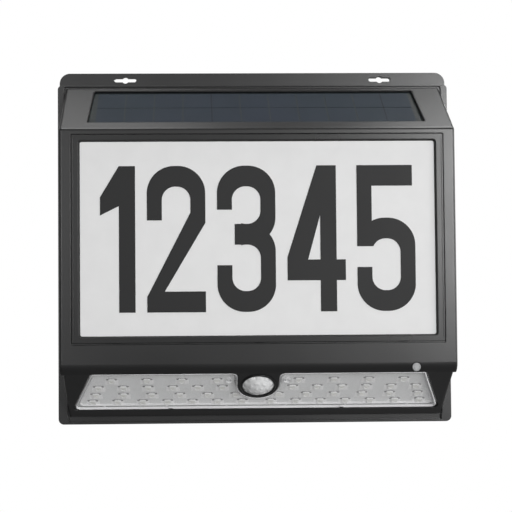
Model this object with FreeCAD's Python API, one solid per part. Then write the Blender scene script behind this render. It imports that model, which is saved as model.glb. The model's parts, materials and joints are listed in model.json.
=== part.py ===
"""Solar house number sign with a lit number panel and a motion-switched lamp face.

Millimetres, +Z up, the front looks along -Y.
The origin is the middle of the flat back face, on the wall plane.
"""
import FreeCAD, Part
import math
import os

Vec = FreeCAD.Vector
Z_AXIS = Vec(0, 0, 1)

# overall sizes
plate_width = 319.0
sign_height = 286.0
plate_thick = 6.0
shell_margin = 6.5              # wall plate left showing at each side of the shell
shell_depth = 46.0
slope_from_front = 48.0         # degrees between each slope and the upright front
shell_wall = 2.5
fit_gap = 0.3                   # clearance round every piece let into an opening

# wall plate
plate_floor = 3.0
plate_corner = 4.5
plate_shoulder = 3.0
flange_margin = 1.3             # the top flange is this much narrower at each side
flange_height = 10.5
flange_thick = 4.0
flange_corner = 8.5
slot_spacing = 209.0
slot_length = 18.0
slot_width = 3.4
slot_hole = 5.6
slot_below_top = 5.5
rail_height = 1.9               # strip of plate left below the drip channel
channel_depth = 2.5
channel_gap = 0.3
shadow_gap = 1.2                # groove in the plate round the foot of the shell
shadow_depth = 1.5
case_pad_radius = 4.6
board_post_radius = 3.0
holder_post_radius = 3.4
holder_post_rise = 2.0
plate_rib_thick = 1.4
plate_rib_rise = 2.2
plate_rib_half_x = 112.0
plate_rib_half_z = 95.0
gasket_half = 0.8
gasket_thick = 1.0

# shell
shell_top_below_plate_top = 2.5
shell_lip_rise = 6.7            # lower lip of the shell above the plate's lower edge
slope_end_rise = 4.58           # where the lamp slope, carried on, would meet the plate
lamp_corner_radius = 10.8
crease_radius = 2.5
side_edge_radius = 2.2
lamp_side_step = 2.4            # the lamp end is narrower than the front by this at each side
lamp_step_drop = 3.3            # height of that step below the front corner
rim_width = 5.0
rim_thick = 3.0
boss_radius = 3.6
low_boss_radius = 4.0
boss_hole_depth = 11.0
small_boss_radius = 2.6

# number panel and its frame
window_width = 273.8
window_height = 149.6
window_centre_z = 4.1
bezel_width = 6.5
bezel_height = 5.4              # the frame's upper and lower bars
bezel_corner = 1.0
bezel_low_gap = 1.1             # open line under the lower bar
bezel_lip = 2.7                 # how far the frame covers the panel
bezel_bevel = 1.3
bezel_groove_in = 1.7           # line down each side bar, from its outer edge
bezel_groove_width = 0.7
bezel_groove_depth = 0.3
bezel_proud = 0.3
bezel_ledge = 1.2
panel_thick = 3.0
panel_setback = 2.0
film_thick = 0.2
guide_thick = 3.0
reflector_thick = 0.3
tray_wall = 1.8

# characters
digit_height = 112.8
digit_width = 45.0
one_width = 27.0
digit_gap = 9.0
digit_stem = 11.5
digit_bar = 16.0
digit_thick = 0.25

# solar panel
solar_top_width = 257.6
solar_bottom_width = 262.4
solar_window_height = 47.0
solar_window_start = 10.9       # from the front edge, up the slope
solar_columns = 11
solar_rows = 2
cell_pitch_x = 22.95
cell_pitch_y = 22.6
cell_gap = 0.9
cell_thick = 0.25
cell_air = 0.05                 # thin air film between the cells and their cover
solar_sheet_thick = 0.8
solar_board_thick = 1.2
solar_seal_thick = 0.3
solar_inset = 0.9
solar_margin = 3.4
solar_top_margin = 0.8          # the board ends just short of the wall plate
solar_flare = 1.2               # bevel round the opening

# lamp face
lens_start = 4.8                # from the front corner, down the slope
lens_end = 50.6
lens_top_half = 128.6
lens_side_slope = 0.38
lens_skin = 2.2
lens_inset = 0.3
lens_edge = 0.8                 # bevel round the lamp face
lens_side_gap = 1.0
lens_opening_bevel = 0.6
lens_wall = 2.5
notch_wall = 1.4
lens_flange = 2.6
lens_back = 4.6
notch_gap = 2.4                 # from the sensor's ring to the lens
notch_round = 5.0
lens_low_round = 3.5            # the two lower corners
clip_notch_x = 68.7
led_size = 5.0
led_height = 1.6
# down the slope, first lamp past the notch's half width, pitch, lamps on each half
led_rows = ((18.2, 15.8, 27.4, 4), (27.2, 11.4, 19.5, 6), (36.6, 0.7, 22.2, 6), (45.3, -4.8, 19.9, 7))
lamp_board_thick = 1.6
lamp_board_start = 11.6
lamp_screw_stop = 1.1           # screw tips stay this far under the shell wall

# motion sensor
sensor_s = 19.8
dome_radius = 12.0              # at the lamp face
dome_height = 6.0
dome_wall = 0.8
ring_gap = 0.25
sensor_ring_width = 1.55
sensor_ring_height = 0.9
ring_sleeve = 0.75
tube_clear = 1.5                # from the dome's foot to the bore of its tube
tube_wall = 1.3
tube_depth = 14.6

# push button
button_x = 120.8
button_above_corner = 1.2
button_radius = 3.2
button_proud = 0.2
button_travel = 0.6
stem_radius = 1.5
button_cap_depth = 2.6          # below the upright front, like the other button depths
button_flange_depth = 2.8
button_flange_thick = 1.2
button_flange_rim = 1.0
button_flange_cut = 2.3         # flat on the flange that keeps the button from turning
button_stem_end = -4.6
switch_size = 5.2
switch_depth = 3.5
switch_board_thick = 1.6

# screws: shaft radius, head radius, head height
case_screw = (1.45, 2.9, 2.0)
small_screw = (0.95, 1.9, 1.4)

# places that follow from the sizes above
top_z = sign_height / 2
bottom_z = -sign_height / 2
flange_z = top_z - flange_height
half_shell = plate_width / 2 - shell_margin
lamp_half = half_shell - lamp_side_step
lamp_inner_half = lamp_half - shell_wall
shell_back = plate_thick
front_y = -(shell_back + shell_depth)
slope_drop = shell_depth / math.tan(math.radians(slope_from_front))
shell_top_z = flange_z - shell_top_below_plate_top
front_top_z = shell_top_z - slope_drop
shell_bottom_z = bottom_z + shell_lip_rise
front_corner_z = bottom_z + slope_end_rise + slope_drop
lamp_step_z = front_corner_z - lamp_step_drop
button_z = front_corner_z + button_above_corner
panel_width = window_width + 2 * bezel_lip
panel_height = window_height + 2 * bezel_lip
bezel_outer_w = window_width + 2 * bezel_width
bezel_outer_h = window_height + 2 * bezel_height
panel_front = -panel_setback
panel_back = panel_front - panel_thick
guide_front = panel_back - film_thick
guide_back = guide_front - guide_thick
tray_floor_front = guide_back - reflector_thick
tray_back = tray_floor_front - tray_wall
tray_inner_w = panel_width + 0.6
tray_inner_h = panel_height + 0.6
sheet_top = -solar_inset - solar_seal_thick
cell_top = sheet_top - solar_sheet_thick - cell_air
board_top = cell_top - cell_thick
lens_front = -lens_inset
lens_inner = lens_front - lens_skin
lamp_board_low = -lens_back - lamp_board_thick
switch_front = button_stem_end - 0.9
switch_back = switch_front - switch_depth
switch_board_back = switch_back - switch_board_thick
bezel_clip_z = panel_height / 2 + 1.9
ring_bore = dome_radius + ring_gap
sensor_ring_radius = ring_bore + sensor_ring_width
notch_half = sensor_ring_radius + notch_gap
tube_inner = dome_radius + tube_clear
dome_sphere = (dome_radius ** 2 + dome_height ** 2) / (2 * dome_height)
dome_sink = dome_sphere - dome_height


def face_frame(y, z, tilt):
    """Frame on an outer face: x to the right, y up the face, z out of it."""
    return FreeCAD.Placement(Vec(0, y, z), FreeCAD.Rotation(Vec(1, 0, 0), 90 + tilt))


back_face = face_frame(0, 0, 0)
front_face = face_frame(front_y, 0, 0)
window_face = face_frame(front_y, window_centre_z, 0)
solar_face = face_frame(front_y, front_top_z, -slope_from_front)
lamp_face = face_frame(front_y, front_corner_z, slope_from_front)


def on(frame, shape):
    placed = shape.copy()
    placed.transformShape(frame.toMatrix())
    return placed


def on_point(frame, point):
    return frame.multVec(Vec(*point))


def outline(points, radii):
    """Closed wire through the points, each corner rounded by its own radius."""
    edges = []
    starts = []
    ends = []
    mids = []
    count = len(points)
    for i in range(count):
        corner = Vec(points[i][0], points[i][1], 0)
        before = Vec(*points[i - 1], 0) - corner
        after = Vec(*points[(i + 1) % count], 0) - corner
        before.normalize()
        after.normalize()
        half = before.getAngle(after) / 2
        radius = radii[i]
        reach = radius / math.tan(half)
        middle = before + after
        middle.normalize()
        starts.append(corner + before * reach)
        ends.append(corner + after * reach)
        mids.append(corner + middle * (radius / math.sin(half) - radius))
    for i in range(count):
        if radii[i] > 0:
            edges.append(Part.Arc(starts[i], mids[i], ends[i]).toShape())
        if ends[i].distanceToPoint(starts[(i + 1) % count]) > 1e-6:
            edges.append(Part.LineSegment(ends[i], starts[(i + 1) % count]).toShape())
    return Part.Wire(edges)


def prism(wire, low, high):
    face = Part.Face(wire)
    face.translate(Vec(0, 0, low))
    return face.extrude(Vec(0, 0, high - low))


def plate(points, radius, low, high):
    return prism(outline(points, [radius] * len(points)), low, high)


def box_points(width, height, x=0, y=0):
    return [(x - width / 2, y - height / 2), (x + width / 2, y - height / 2),
            (x + width / 2, y + height / 2), (x - width / 2, y + height / 2)]


def block(width, height, radius, low, high, x=0, y=0):
    return plate(box_points(width, height, x, y), radius, low, high)


def disc(radius, low, high, x=0, y=0):
    return Part.makeCylinder(radius, high - low, Vec(x, y, low), Z_AXIS)


def ring(outer, inner, low, high, x=0, y=0):
    return disc(outer, low, high, x, y).cut(disc(inner, low, high, x, y))


def join(shapes):
    return shapes[0].fuse(shapes[1:]).removeSplitter() if len(shapes) > 1 else shapes[0]


def group(shapes):
    return Part.makeCompound(shapes)


def mirrored(values):
    return [-v for v in reversed(values)] + list(values)


def screw(sizes, length, low=0.0, x=0, y=0):
    """Pan head at the low side, shaft towards +z with a short point and a cross recess."""
    shaft, head, head_height = sizes
    body = disc(head, low, low + head_height, x, y)
    rim = [e for e in body.Edges if abs(e.BoundBox.ZMax - low) < 1e-6 and len(e.Vertexes) == 1]
    body = body.makeFillet(head_height * 0.45, rim)
    stem = disc(shaft, low + head_height, low + length - shaft, x, y)
    tip = Part.makeCone(shaft, shaft * 0.3, shaft, Vec(x, y, low + length - shaft), Z_AXIS)
    slot_long = head * 1.1
    slot_thin = head * 0.28
    cross = block(slot_long, slot_thin, 0, low, low + head_height * 0.6, x, y)
    cross = cross.fuse(block(slot_thin, slot_long, 0, low, low + head_height * 0.6, x, y))
    return body.fuse([stem, tip]).removeSplitter().cut(cross)


def tube(points, radius, bend):
    """Straight runs joined by tangent arcs, one steady round section."""
    path = [Vec(*p) for p in points]
    edges = []
    last = path[0]
    for i in range(1, len(path) - 1):
        back = path[i - 1] - path[i]
        ahead = path[i + 1] - path[i]
        shorter = min(back.Length, ahead.Length)
        back.normalize()
        ahead.normalize()
        half = back.getAngle(ahead) / 2
        arc_radius = min(bend, 0.45 * shorter * math.tan(half))
        reach = arc_radius / math.tan(half)
        middle = back + ahead
        middle.normalize()
        start = path[i] + back * reach
        end = path[i] + ahead * reach
        edges.append(Part.LineSegment(last, start).toShape())
        inner = path[i] + middle * (arc_radius / math.sin(half) - arc_radius)
        edges.append(Part.Arc(start, inner, end).toShape())
        last = end
    edges.append(Part.LineSegment(last, path[-1]).toShape())
    spine = Part.Wire(edges)
    section = Part.Wire(Part.makeCircle(radius, path[0], path[1] - path[0]))
    return spine.makePipeShell([section], True, False)


# ---- wall plate -------------------------------------------------------------

side_screw_x = half_shell - 7.3
case_screw_rows = ((half_shell - 10.0, shell_top_z - 18.0), (side_screw_x, 30.0), (side_screw_x, -52.0),
                   (60.0, front_corner_z + 10.0))
case_screw_places = [(s * x, z) for x, z in case_screw_rows for s in (-1, 1)]
board_centre = (36.0, -22.0)
board_size = (84.0, 56.0)
board_rise = 5.0
board_posts = [(board_centre[0] + x * 38.0, board_centre[1] + z * 24.0) for x in (-1, 1) for z in (-1, 1)]
holder_centre = (-52.0, 52.0)
holder_size = (78.0, 42.0)
holder_screw_x = 26.0


def footprint(inset, radius):
    """Foot of the shell on the wall plate, narrower over the lamp end, moved in by an inset."""
    half = half_shell - inset
    low_half = lamp_half - inset
    step = lamp_step_z + inset
    low = shell_bottom_z + inset
    high = shell_top_z - inset
    points = [(-low_half, low), (low_half, low), (low_half, step), (half, step),
              (half, high), (-half, high), (-half, step), (-low_half, step)]
    tight = min(radius, lamp_side_step * 0.45)
    return outline(points, [radius, radius, tight, tight, radius, radius, tight, tight])


def back_cover():
    half = plate_width / 2
    sides = [(-half, bottom_z), (half, bottom_z), (half, flange_z), (-half, flange_z)]
    body = prism(outline(sides, [plate_corner, plate_corner, plate_shoulder, plate_shoulder]), 0, plate_thick)
    wide = plate_width / 2 - flange_margin
    top = [(-wide, flange_z - plate_thick), (wide, flange_z - plate_thick), (wide, top_z), (-wide, top_z)]
    body = body.fuse(prism(outline(top, [0, 0, flange_corner, flange_corner]), 0, flange_thick))
    body = body.cut(prism(footprint(rim_width + fit_gap, 3), plate_floor, plate_thick))
    root = plate_floor - 1
    pads = [disc(case_pad_radius, root, plate_thick, x, z) for x, z in case_screw_places]
    posts = [disc(board_post_radius, root, plate_floor + board_rise, x, z) for x, z in board_posts]
    hx, hz = holder_centre
    holder_top = plate_floor + holder_post_rise
    holder_posts = [disc(holder_post_radius, root, holder_top, hx + s * holder_screw_x, hz) for s in (-1, 1)]
    rib_top = plate_floor + plate_rib_rise
    thick = plate_rib_thick
    ribs = []
    for s in (-1, 1):
        ribs.append(block(thick, 2 * plate_rib_half_z, 0, root, rib_top, s * plate_rib_half_x, 0))
        ribs.append(block(2 * plate_rib_half_x - thick, thick, 0, root, rib_top, 0, s * plate_rib_half_z))
    body = body.fuse(pads + posts + holder_posts + ribs)
    groove_floor = plate_thick - shadow_depth
    cuts = [prism(footprint(-channel_gap - shadow_gap, 1.5), groove_floor, plate_thick).cut(
        prism(footprint(-channel_gap, 0.5), groove_floor, plate_thick))]
    channel_low = bottom_z + rail_height
    channel_half = lamp_half + channel_gap + shadow_gap / 2
    channel_height = shell_bottom_z - channel_low
    cuts.append(block(2 * channel_half, channel_height, 0, plate_thick - channel_depth, plate_thick,
                      0, channel_low + channel_height / 2))
    cuts.append(gasket_solid(0.1))
    for s in (-1, 1):
        x = s * slot_spacing / 2
        z = top_z - slot_below_top
        cuts.append(block(slot_length, slot_width, slot_width / 2 - 1e-4, 0, flange_thick, x, z))
        cuts.append(disc(slot_hole / 2, 0, flange_thick, x, z))
    for x, z in case_screw_places:
        cuts.append(disc(case_screw[1] + 0.4, 0, case_screw[2] + 0.3, x, z))
        cuts.append(disc(case_screw[0] + 0.25, 0, plate_thick, x, z))
    for x, z in board_posts:
        cuts.append(disc(small_screw[0], plate_floor - 0.5, plate_floor + board_rise, x, z))
    for s in (-1, 1):
        cuts.append(disc(small_screw[0], plate_floor - 1.5, holder_top, hx + s * holder_screw_x, hz))
    return on(back_face, body.cut(cuts))


def gasket_solid(extra=0.0):
    middle = rim_width / 2
    low = plate_thick - gasket_thick
    outer = prism(footprint(middle - gasket_half - extra, 3), low, plate_thick)
    return outer.cut(prism(footprint(middle + gasket_half + extra, 2), low, plate_thick))


def housing_screws():
    return on(back_face, group([screw(case_screw, 15.0, 0.3, x, z) for x, z in case_screw_places]))


# ---- shell ------------------------------------------------------------------

def shell_section(inset):
    """Side outline of the shell in (depth, height), shrunk by a wall."""
    tilt = math.radians(slope_from_front)
    across = inset / math.sin(tilt)
    nudge = inset * (1 - math.cos(tilt)) / math.sin(tilt)
    back = -shell_back
    front = front_y + inset
    lip_z = shell_bottom_z + inset
    lip_y = front + (front_corner_z + nudge - lip_z) * math.tan(tilt)
    return [(back, shell_top_z - across), (front, front_top_z - nudge), (front, front_corner_z + nudge),
            (lip_y, lip_z), (back, lip_z)]


def shell_solid(inset, half):
    radii = [0, crease_radius - min(inset, crease_radius - 0.2), lamp_corner_radius - inset, 0, 0]
    flat = outline(shell_section(inset), radii)
    solid = Part.Face(flat).extrude(Vec(0, 0, 2 * half))
    turn = FreeCAD.Matrix(0, 0, 1, -half, 1, 0, 0, 0, 0, 1, 0, 0, 0, 0, 0, 1)
    placed = solid.copy()
    placed.transformShape(turn)
    return placed


def rounded_shell(half):
    solid = shell_solid(0, half)
    edges = []
    for edge in solid.Edges:
        box = edge.BoundBox
        at_side = box.XLength < 1e-6 and abs(abs(box.XMin) - half) < 1e-6
        at_back = box.YLength < 1e-6 and abs(box.YMax + shell_back) < 1e-6
        at_lip = abs(box.ZMax - shell_bottom_z) < 1e-6
        if at_side and not at_back and not at_lip:
            edges.append(edge)
    return solid.makeFillet(side_edge_radius, edges)


def stepped(wide, narrow, step_z):
    """The wide solid above a height and the narrow one all the way down."""
    lower = Part.makeBox(2 * plate_width, 4 * shell_depth, sign_height,
                         Vec(-plate_width, -2 * shell_depth, step_z - sign_height))
    return wide.cut(lower).fuse(narrow).removeSplitter()


def shell_outside():
    return stepped(rounded_shell(half_shell), rounded_shell(lamp_half), lamp_step_z)


def shell_inside():
    wide = shell_solid(shell_wall, half_shell - shell_wall)
    return stepped(wide, shell_solid(shell_wall, lamp_inner_half), lamp_step_z + shell_wall)


tray_ear_x = (-100.0, -26.0, 26.0, 100.0)
tray_tab_x = (-96.0, -28.0, 28.0, 96.0)
tray_ear_drop = 4.6
backlight_exit = (-120.0, -tray_inner_h / 2 + 17.8)     # hole in the tray for the strip's leads
bezel_clip_x = (-110.0, -55.0, 0.0, 55.0, 110.0)
switch_centre = (button_x, button_z + 5.2)
switch_board_size = (20.0, 15.6)
switch_screws = [(button_x + s * 7.0, button_z + 9.8) for s in (-1, 1)]
tray_lug_width = 15.0
tray_lug_thick = 2.8
tray_lug_rise = 2.4
tray_tab_width = 10.0
tray_tab_thick = 1.6
bezel_clip_width = 6.0
bezel_clip_thick = 1.2
clip_hook = (2.6, 1.4)


def trapezoid(top_half, bottom_half, top, bottom):
    return [(-bottom_half, bottom), (bottom_half, bottom), (top_half, top), (-top_half, top)]


def lens_half(s, grow=0.0):
    return lens_top_half + (s - lens_start) * lens_side_slope + grow * math.hypot(1, lens_side_slope)


def lens_outline(side, top, bottom, notch, start=lens_start):
    """Lamp face outline in its own frame, each edge moved out by its own amount."""
    high = start - top
    low = lens_end + bottom
    half = notch_half - notch
    lip = min(notch_round, (sensor_s - high) / 2)
    room = lamp_inner_half - fit_gap + max(0, side - lens_flange)
    low_half = min(lens_half(low, side), room)
    left_top = (-lens_half(high, side), -high)
    right_top = (lens_half(high, side), -high)
    left_low = (-low_half, -low)
    right_low = (low_half, -low)
    corner = 1.2
    points = [left_low, right_low, right_top, (half, -high), (half, -sensor_s - half),
              (-half, -sensor_s - half), (-half, -high), left_top]
    radii = [lens_low_round, lens_low_round, corner, lip, half - 0.01, half - 0.01, lip, corner]
    return outline(points, radii)


def tray_ear_z():
    return -tray_inner_h / 2 - tray_wall - tray_ear_drop


def housing_additions(outer):
    """Foot rim, screw bosses, tray lugs and the sensor's tube, all inside the shell."""
    rim = prism(footprint(0.3, 1.5), plate_thick, plate_thick + rim_thick)
    rim = rim.cut(prism(footprint(rim_width, 2), plate_thick, plate_thick + rim_thick))
    around_lens = lens_flange + fit_gap
    lamp_room = prism(lens_outline(around_lens, 0, around_lens, 0), -20, -shell_wall)
    adds = [on(back_face, rim).common(outer).cut(on(lamp_face, lamp_room))]
    for x, z in case_screw_places:
        radius = low_boss_radius if z < lamp_step_z + 20 else boss_radius
        boss = disc(radius, plate_thick, shell_back + shell_depth, x, z)
        adds.append(on(back_face, boss).common(outer))
    for x in tray_ear_x:
        boss = disc(small_boss_radius, tray_back + tray_wall, -shell_wall, x, tray_ear_z())
        adds.append(on(window_face, boss))
    for x in tray_tab_x:
        adds.append(on(window_face, block(tray_lug_width, tray_lug_thick, 0, tray_back, -shell_wall,
                                          x, tray_inner_h / 2 + tray_wall + tray_lug_rise)))
    for x, z in switch_screws:
        adds.append(on(front_face, disc(small_boss_radius - 0.2, switch_back, -shell_wall, x, z)))
    tube_body = ring(tube_inner + tube_wall, tube_inner, -tube_depth, -shell_wall + 0.2, 0, -sensor_s)
    adds.append(on(lamp_face, tube_body))
    return adds


def front_openings():
    """Window, frame seat and clip slots, and the tray tabs' slots behind them."""
    gap = 2 * fit_gap
    cuts = [block(panel_width + gap, panel_height + gap, 2, -shell_wall - 1, 1)]
    seat_height = bezel_outer_h + fit_gap + bezel_low_gap
    cuts.append(block(bezel_outer_w + gap, seat_height, bezel_corner + fit_gap, -bezel_ledge, 1,
                      0, (fit_gap - bezel_low_gap) / 2))
    for x in bezel_clip_x:
        for s in (-1, 1):
            cuts.append(block(bezel_clip_width + 0.8, bezel_clip_thick + gap, 0, -shell_wall - 1, 0,
                              x, s * bezel_clip_z))
    for x in tray_tab_x:
        cuts.append(block(tray_tab_width + gap, tray_lug_thick, 0, tray_floor_front - fit_gap,
                          tray_floor_front + tray_tab_thick + fit_gap, x, tray_inner_h / 2 + tray_wall + 1.2))
    return [on(window_face, cut) for cut in cuts]


def solar_openings():
    low = solar_window_start
    high = solar_window_start + solar_window_height
    inner = trapezoid(solar_top_width / 2, solar_bottom_width / 2, high, low)
    wide = trapezoid(solar_top_width / 2 + solar_flare, solar_bottom_width / 2 + solar_flare,
                     high + solar_flare, low - solar_flare)
    rims = [outline(inner, [0.8] * 4), outline(wide, [2.0] * 4)]
    rims[0].translate(Vec(0, 0, -solar_inset))
    pocket = block(solar_board_width() + 2 * fit_gap, solar_board_height() + 2 * fit_gap, 1.5,
                   board_top - solar_board_thick - 1, -solar_inset, 0, solar_board_middle())
    cuts = [plate(inner, 0.8, -shell_wall - 1, 1), Part.makeLoft(rims, True, True), pocket]
    return [on(solar_face, cut) for cut in cuts]


def lamp_openings():
    opening = prism(lens_outline(lens_side_gap, fit_gap, fit_gap, fit_gap), -shell_wall - 0.6, 1)
    bevel = lens_opening_bevel
    rims = [lens_outline(lens_side_gap, fit_gap, fit_gap, fit_gap),
            lens_outline(lens_side_gap + 2 * bevel, fit_gap, fit_gap, fit_gap)]
    rims[0].translate(Vec(0, 0, -bevel))
    rims[1].translate(Vec(0, 0, bevel))
    neck = disc(ring_bore + ring_sleeve + 0.1, -shell_wall - 0.5, 1, 0, -sensor_s)
    return [on(lamp_face, cut) for cut in (opening, Part.makeLoft(rims, True, True), neck)]


def front_housing():
    outer = shell_outside()
    body = outer.cut(shell_inside()).fuse(housing_additions(outer))
    cuts = front_openings() + solar_openings() + lamp_openings()
    for x, z in case_screw_places:
        cuts.append(on(back_face, disc(case_screw[0], plate_thick, plate_thick + boss_hole_depth, x, z)))
    for x in tray_ear_x:
        cuts.append(on(window_face, disc(small_screw[0], tray_back, -shell_wall - 0.4, x, tray_ear_z())))
    for x, z in switch_screws:
        cuts.append(on(front_face, disc(small_screw[0], switch_back, -shell_wall - 0.6, x, z)))
    cuts.append(on(front_face, disc(button_radius + fit_gap, -shell_wall - 4, 1, button_x, button_z)))
    seat = flat_disc(button_radius + button_flange_rim + fit_gap, -12, -button_flange_depth + 0.1,
                     button_flange_cut + fit_gap)
    seat.translate(Vec(button_x, button_z, 0))
    cuts.append(on(front_face, seat))
    body = body.cut(cuts)
    hook_width, hook_height = clip_hook
    hooks = [on(lamp_face, block(hook_width, hook_height, 0, -1.9, -0.5, x, -lens_end - fit_gap + 0.5))
             for x in (-clip_notch_x, clip_notch_x)]
    return body.fuse(hooks).removeSplitter()


def flat_disc(radius, low, high, flat):
    """Disc with its lower side cut off level."""
    return disc(radius, low, high).cut(block(4 * radius, radius, 0, low, high, 0, -flat - radius / 2))


def solar_board_width():
    return max(solar_bottom_width, solar_columns * cell_pitch_x) + 2 * solar_margin


def solar_board_height():
    return solar_window_height + solar_margin + solar_top_margin


def solar_board_middle():
    return solar_window_start + (solar_window_height + solar_top_margin - solar_margin) / 2


def solar_window_middle():
    return solar_window_start + solar_window_height / 2


# ---- number panel -----------------------------------------------------------

def panel_bezel():
    body = block(bezel_outer_w, bezel_outer_h, bezel_corner, -bezel_ledge, bezel_proud)
    rim = [e for e in body.Edges if e.BoundBox.ZMin > bezel_proud - 1e-6]
    body = body.makeChamfer(0.35, rim)
    body = body.fuse(block(panel_width, panel_height, 1.7, panel_front, -bezel_ledge))
    opening = outline(box_points(window_width, window_height), [1.5] * 4)
    wide = outline(box_points(window_width + 2 * bezel_bevel, window_height + 2 * bezel_bevel),
                   [1.5 + bezel_bevel] * 4)
    opening.translate(Vec(0, 0, panel_front + 0.5))
    wide.translate(Vec(0, 0, bezel_proud + 0.05))
    body = body.cut(block(window_width, window_height, 1.5, panel_front, bezel_proud))
    body = body.cut(Part.makeLoft([opening, wide], True, True))
    groove_x = bezel_outer_w / 2 - bezel_groove_in
    groove_low = bezel_proud - bezel_groove_depth
    groove_long = window_height + bezel_height
    body = body.cut([block(bezel_groove_width, groove_long, 0, groove_low, bezel_proud, s * groove_x, 0)
                     for s in (-1, 1)])
    clips = []
    clip_low = -shell_wall - 1.7
    nose_thick = bezel_clip_thick + 0.9
    for x in bezel_clip_x:
        for s in (-1, 1):
            clips.append(block(bezel_clip_width, bezel_clip_thick, 0, clip_low, -bezel_ledge,
                               x, s * bezel_clip_z))
            clips.append(block(bezel_clip_width, nose_thick, 0, clip_low, -shell_wall - 0.3,
                               x, s * (bezel_clip_z + 0.45)))
    return on(window_face, body.fuse(clips).removeSplitter())


def number_panel():
    return on(window_face, block(panel_width, panel_height, 1.7, panel_back, panel_front))


def diffuser_film():
    return on(window_face, block(panel_width - 0.6, panel_height - 0.6, 0, guide_front, panel_back))


guide_bottom = -panel_height / 2 + 2.5


def light_guide():
    top = panel_height / 2 - 0.5
    height = top - guide_bottom
    body = block(panel_width - 1.0, height, 0, guide_back, guide_front, 0, (top + guide_bottom) / 2)
    return on(window_face, body)


def reflector_sheet():
    return on(window_face, block(panel_width - 0.8, panel_height - 0.8, 0, tray_floor_front, guide_back))


strip_thick = 0.9
strip_led_count = 24
strip_led_pitch = 11.0


def backlight_board():
    low = -tray_inner_h / 2 + 0.1
    body = block(strip_led_count * strip_led_pitch + 6, strip_thick, 0, guide_back, guide_front, 0,
                 low + strip_thick / 2)
    return on(window_face, body)


def backlight_leds():
    low = -tray_inner_h / 2 + 0.1 + strip_thick
    height = guide_bottom - low - 0.1
    middle = (guide_front + guide_back) / 2
    lamps = []
    for i in range(strip_led_count):
        x = (i - (strip_led_count - 1) / 2) * strip_led_pitch
        lamp = block(3.0, height, 0, middle - 1.0, middle + 1.0, x, low + height / 2)
        lamps.append(lamp)
    return on(window_face, group(lamps))


tray_rib_thick = 1.4
tray_rib_depth = 2.0
tray_rib_x = (-90.0, 90.0)
tray_rib_z = (-50.0, 0.0, 50.0)


def light_tray():
    outer_w = tray_inner_w + 2 * tray_wall
    outer_h = tray_inner_h + 2 * tray_wall
    body = block(outer_w, outer_h, 2.5, tray_back, panel_back)
    body = body.cut(block(tray_inner_w, tray_inner_h, 1, tray_floor_front, panel_back))
    adds = []
    for x in tray_ear_x:
        adds.append(block(8, tray_ear_drop + 4.0, 2, tray_back, tray_back + tray_wall, x,
                          -outer_h / 2 - (tray_ear_drop + 2.0) / 2))
    for x in tray_tab_x:
        adds.append(block(tray_tab_width, 3.0, 0, tray_floor_front, tray_floor_front + tray_tab_thick,
                          x, outer_h / 2 + 0.8))
    rib_low = tray_back - tray_rib_depth
    ribs = [block(outer_w - 30, tray_rib_thick, 0, rib_low, tray_back, 0, z) for z in tray_rib_z]
    ribs += [block(tray_rib_thick, outer_h - 30, 0, rib_low, tray_back, x, 0) for x in tray_rib_x]
    body = body.fuse(adds + ribs)
    hole = small_screw[0] + 0.2
    cuts = [disc(hole, tray_back - 1, tray_back + tray_wall, x, tray_ear_z()) for x in tray_ear_x]
    cuts.append(block(8, 8, 1, tray_back, tray_floor_front, backlight_exit[0], backlight_exit[1]))
    return on(window_face, body.cut(cuts).removeSplitter())


def light_tray_screws():
    low = tray_back - small_screw[2]
    return on(window_face, group([screw(small_screw, 6.0, low, x, tray_ear_z()) for x in tray_ear_x]))


# ---- characters -------------------------------------------------------------

def stadium(width, low, high, inset):
    """Tall round-ended outline, inset by the stroke."""
    half = width / 2 - inset
    centre = width / 2
    points = [(centre - half, low), (centre + half, low), (centre + half, high), (centre - half, high)]
    return prism(outline(points, [half * 0.94] * 4), 0, digit_thick)


def bar(x0, x1, z0, z1):
    return prism(Part.makePolygon([Vec(x0, z0, 0), Vec(x1, z0, 0), Vec(x1, z1, 0), Vec(x0, z1, 0),
                                   Vec(x0, z0, 0)]), 0, digit_thick)


def shape_of(points):
    loop = [Vec(x, z, 0) for x, z in points + points[:1]]
    return prism(Part.makePolygon(loop), 0, digit_thick)


def bowl(low, high):
    outer = stadium(digit_width, low, high, 0)
    return outer.cut(stadium(digit_width, low + digit_bar, high - digit_bar, digit_stem))


def glyph_1():
    stem = bar(one_width - digit_stem - 1, one_width, 0, digit_height)
    flag = shape_of([(0, digit_height - 24), (0, digit_height - 38), (one_width - 3, digit_height - 26),
                     (one_width - 3, digit_height), (one_width - digit_stem - 1, digit_height)])
    return join([stem, flag])


def glyph_2():
    w, h = digit_width, digit_height
    top = bowl(h - 66, h).cut(bar(-1, w + 1, h - 70, h - 36))
    left = bar(0, digit_stem, h - 42, h - 36)
    leg = shape_of([(w - digit_stem, h - 36), (w, h - 36), (w, h - 44), (digit_stem + 2, digit_bar),
                    (0, digit_bar), (0, 12)])
    base = bar(0, w, 0, digit_bar)
    return join([top, left, leg, base])


def glyph_3():
    w, h = digit_width, digit_height
    waist = h * 0.53
    upper = bowl(waist - digit_bar / 2, h)
    lower = bowl(0, waist + digit_bar / 2)
    gap = bar(-1, w / 2 - 4, 36, h - 34)
    body = upper.fuse(lower).cut(gap)
    return join([body, bar(w / 2 - 9, w - 8, waist - digit_bar / 2, waist + digit_bar / 2)])


def glyph_4():
    w, h = digit_width, digit_height
    stem = bar(w - digit_stem - 8, w - 7, 0, h)
    cross = bar(0, w, 24, 24 + digit_bar)
    slant = shape_of([(0, 24), (digit_stem, 24), (w - digit_stem - 4, h - 24), (w - 8, h), (w - 22, h),
                      (0, 42)])
    return join([stem, cross, slant])


def glyph_5():
    w, h = digit_width, digit_height
    top = bar(0, w - 2, h - digit_bar, h)
    stem = bar(0, digit_stem, 50, h)
    lower = bowl(0, 72).cut(bar(-1, w / 2, 34, 50))
    return join([top, stem, lower])


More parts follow.
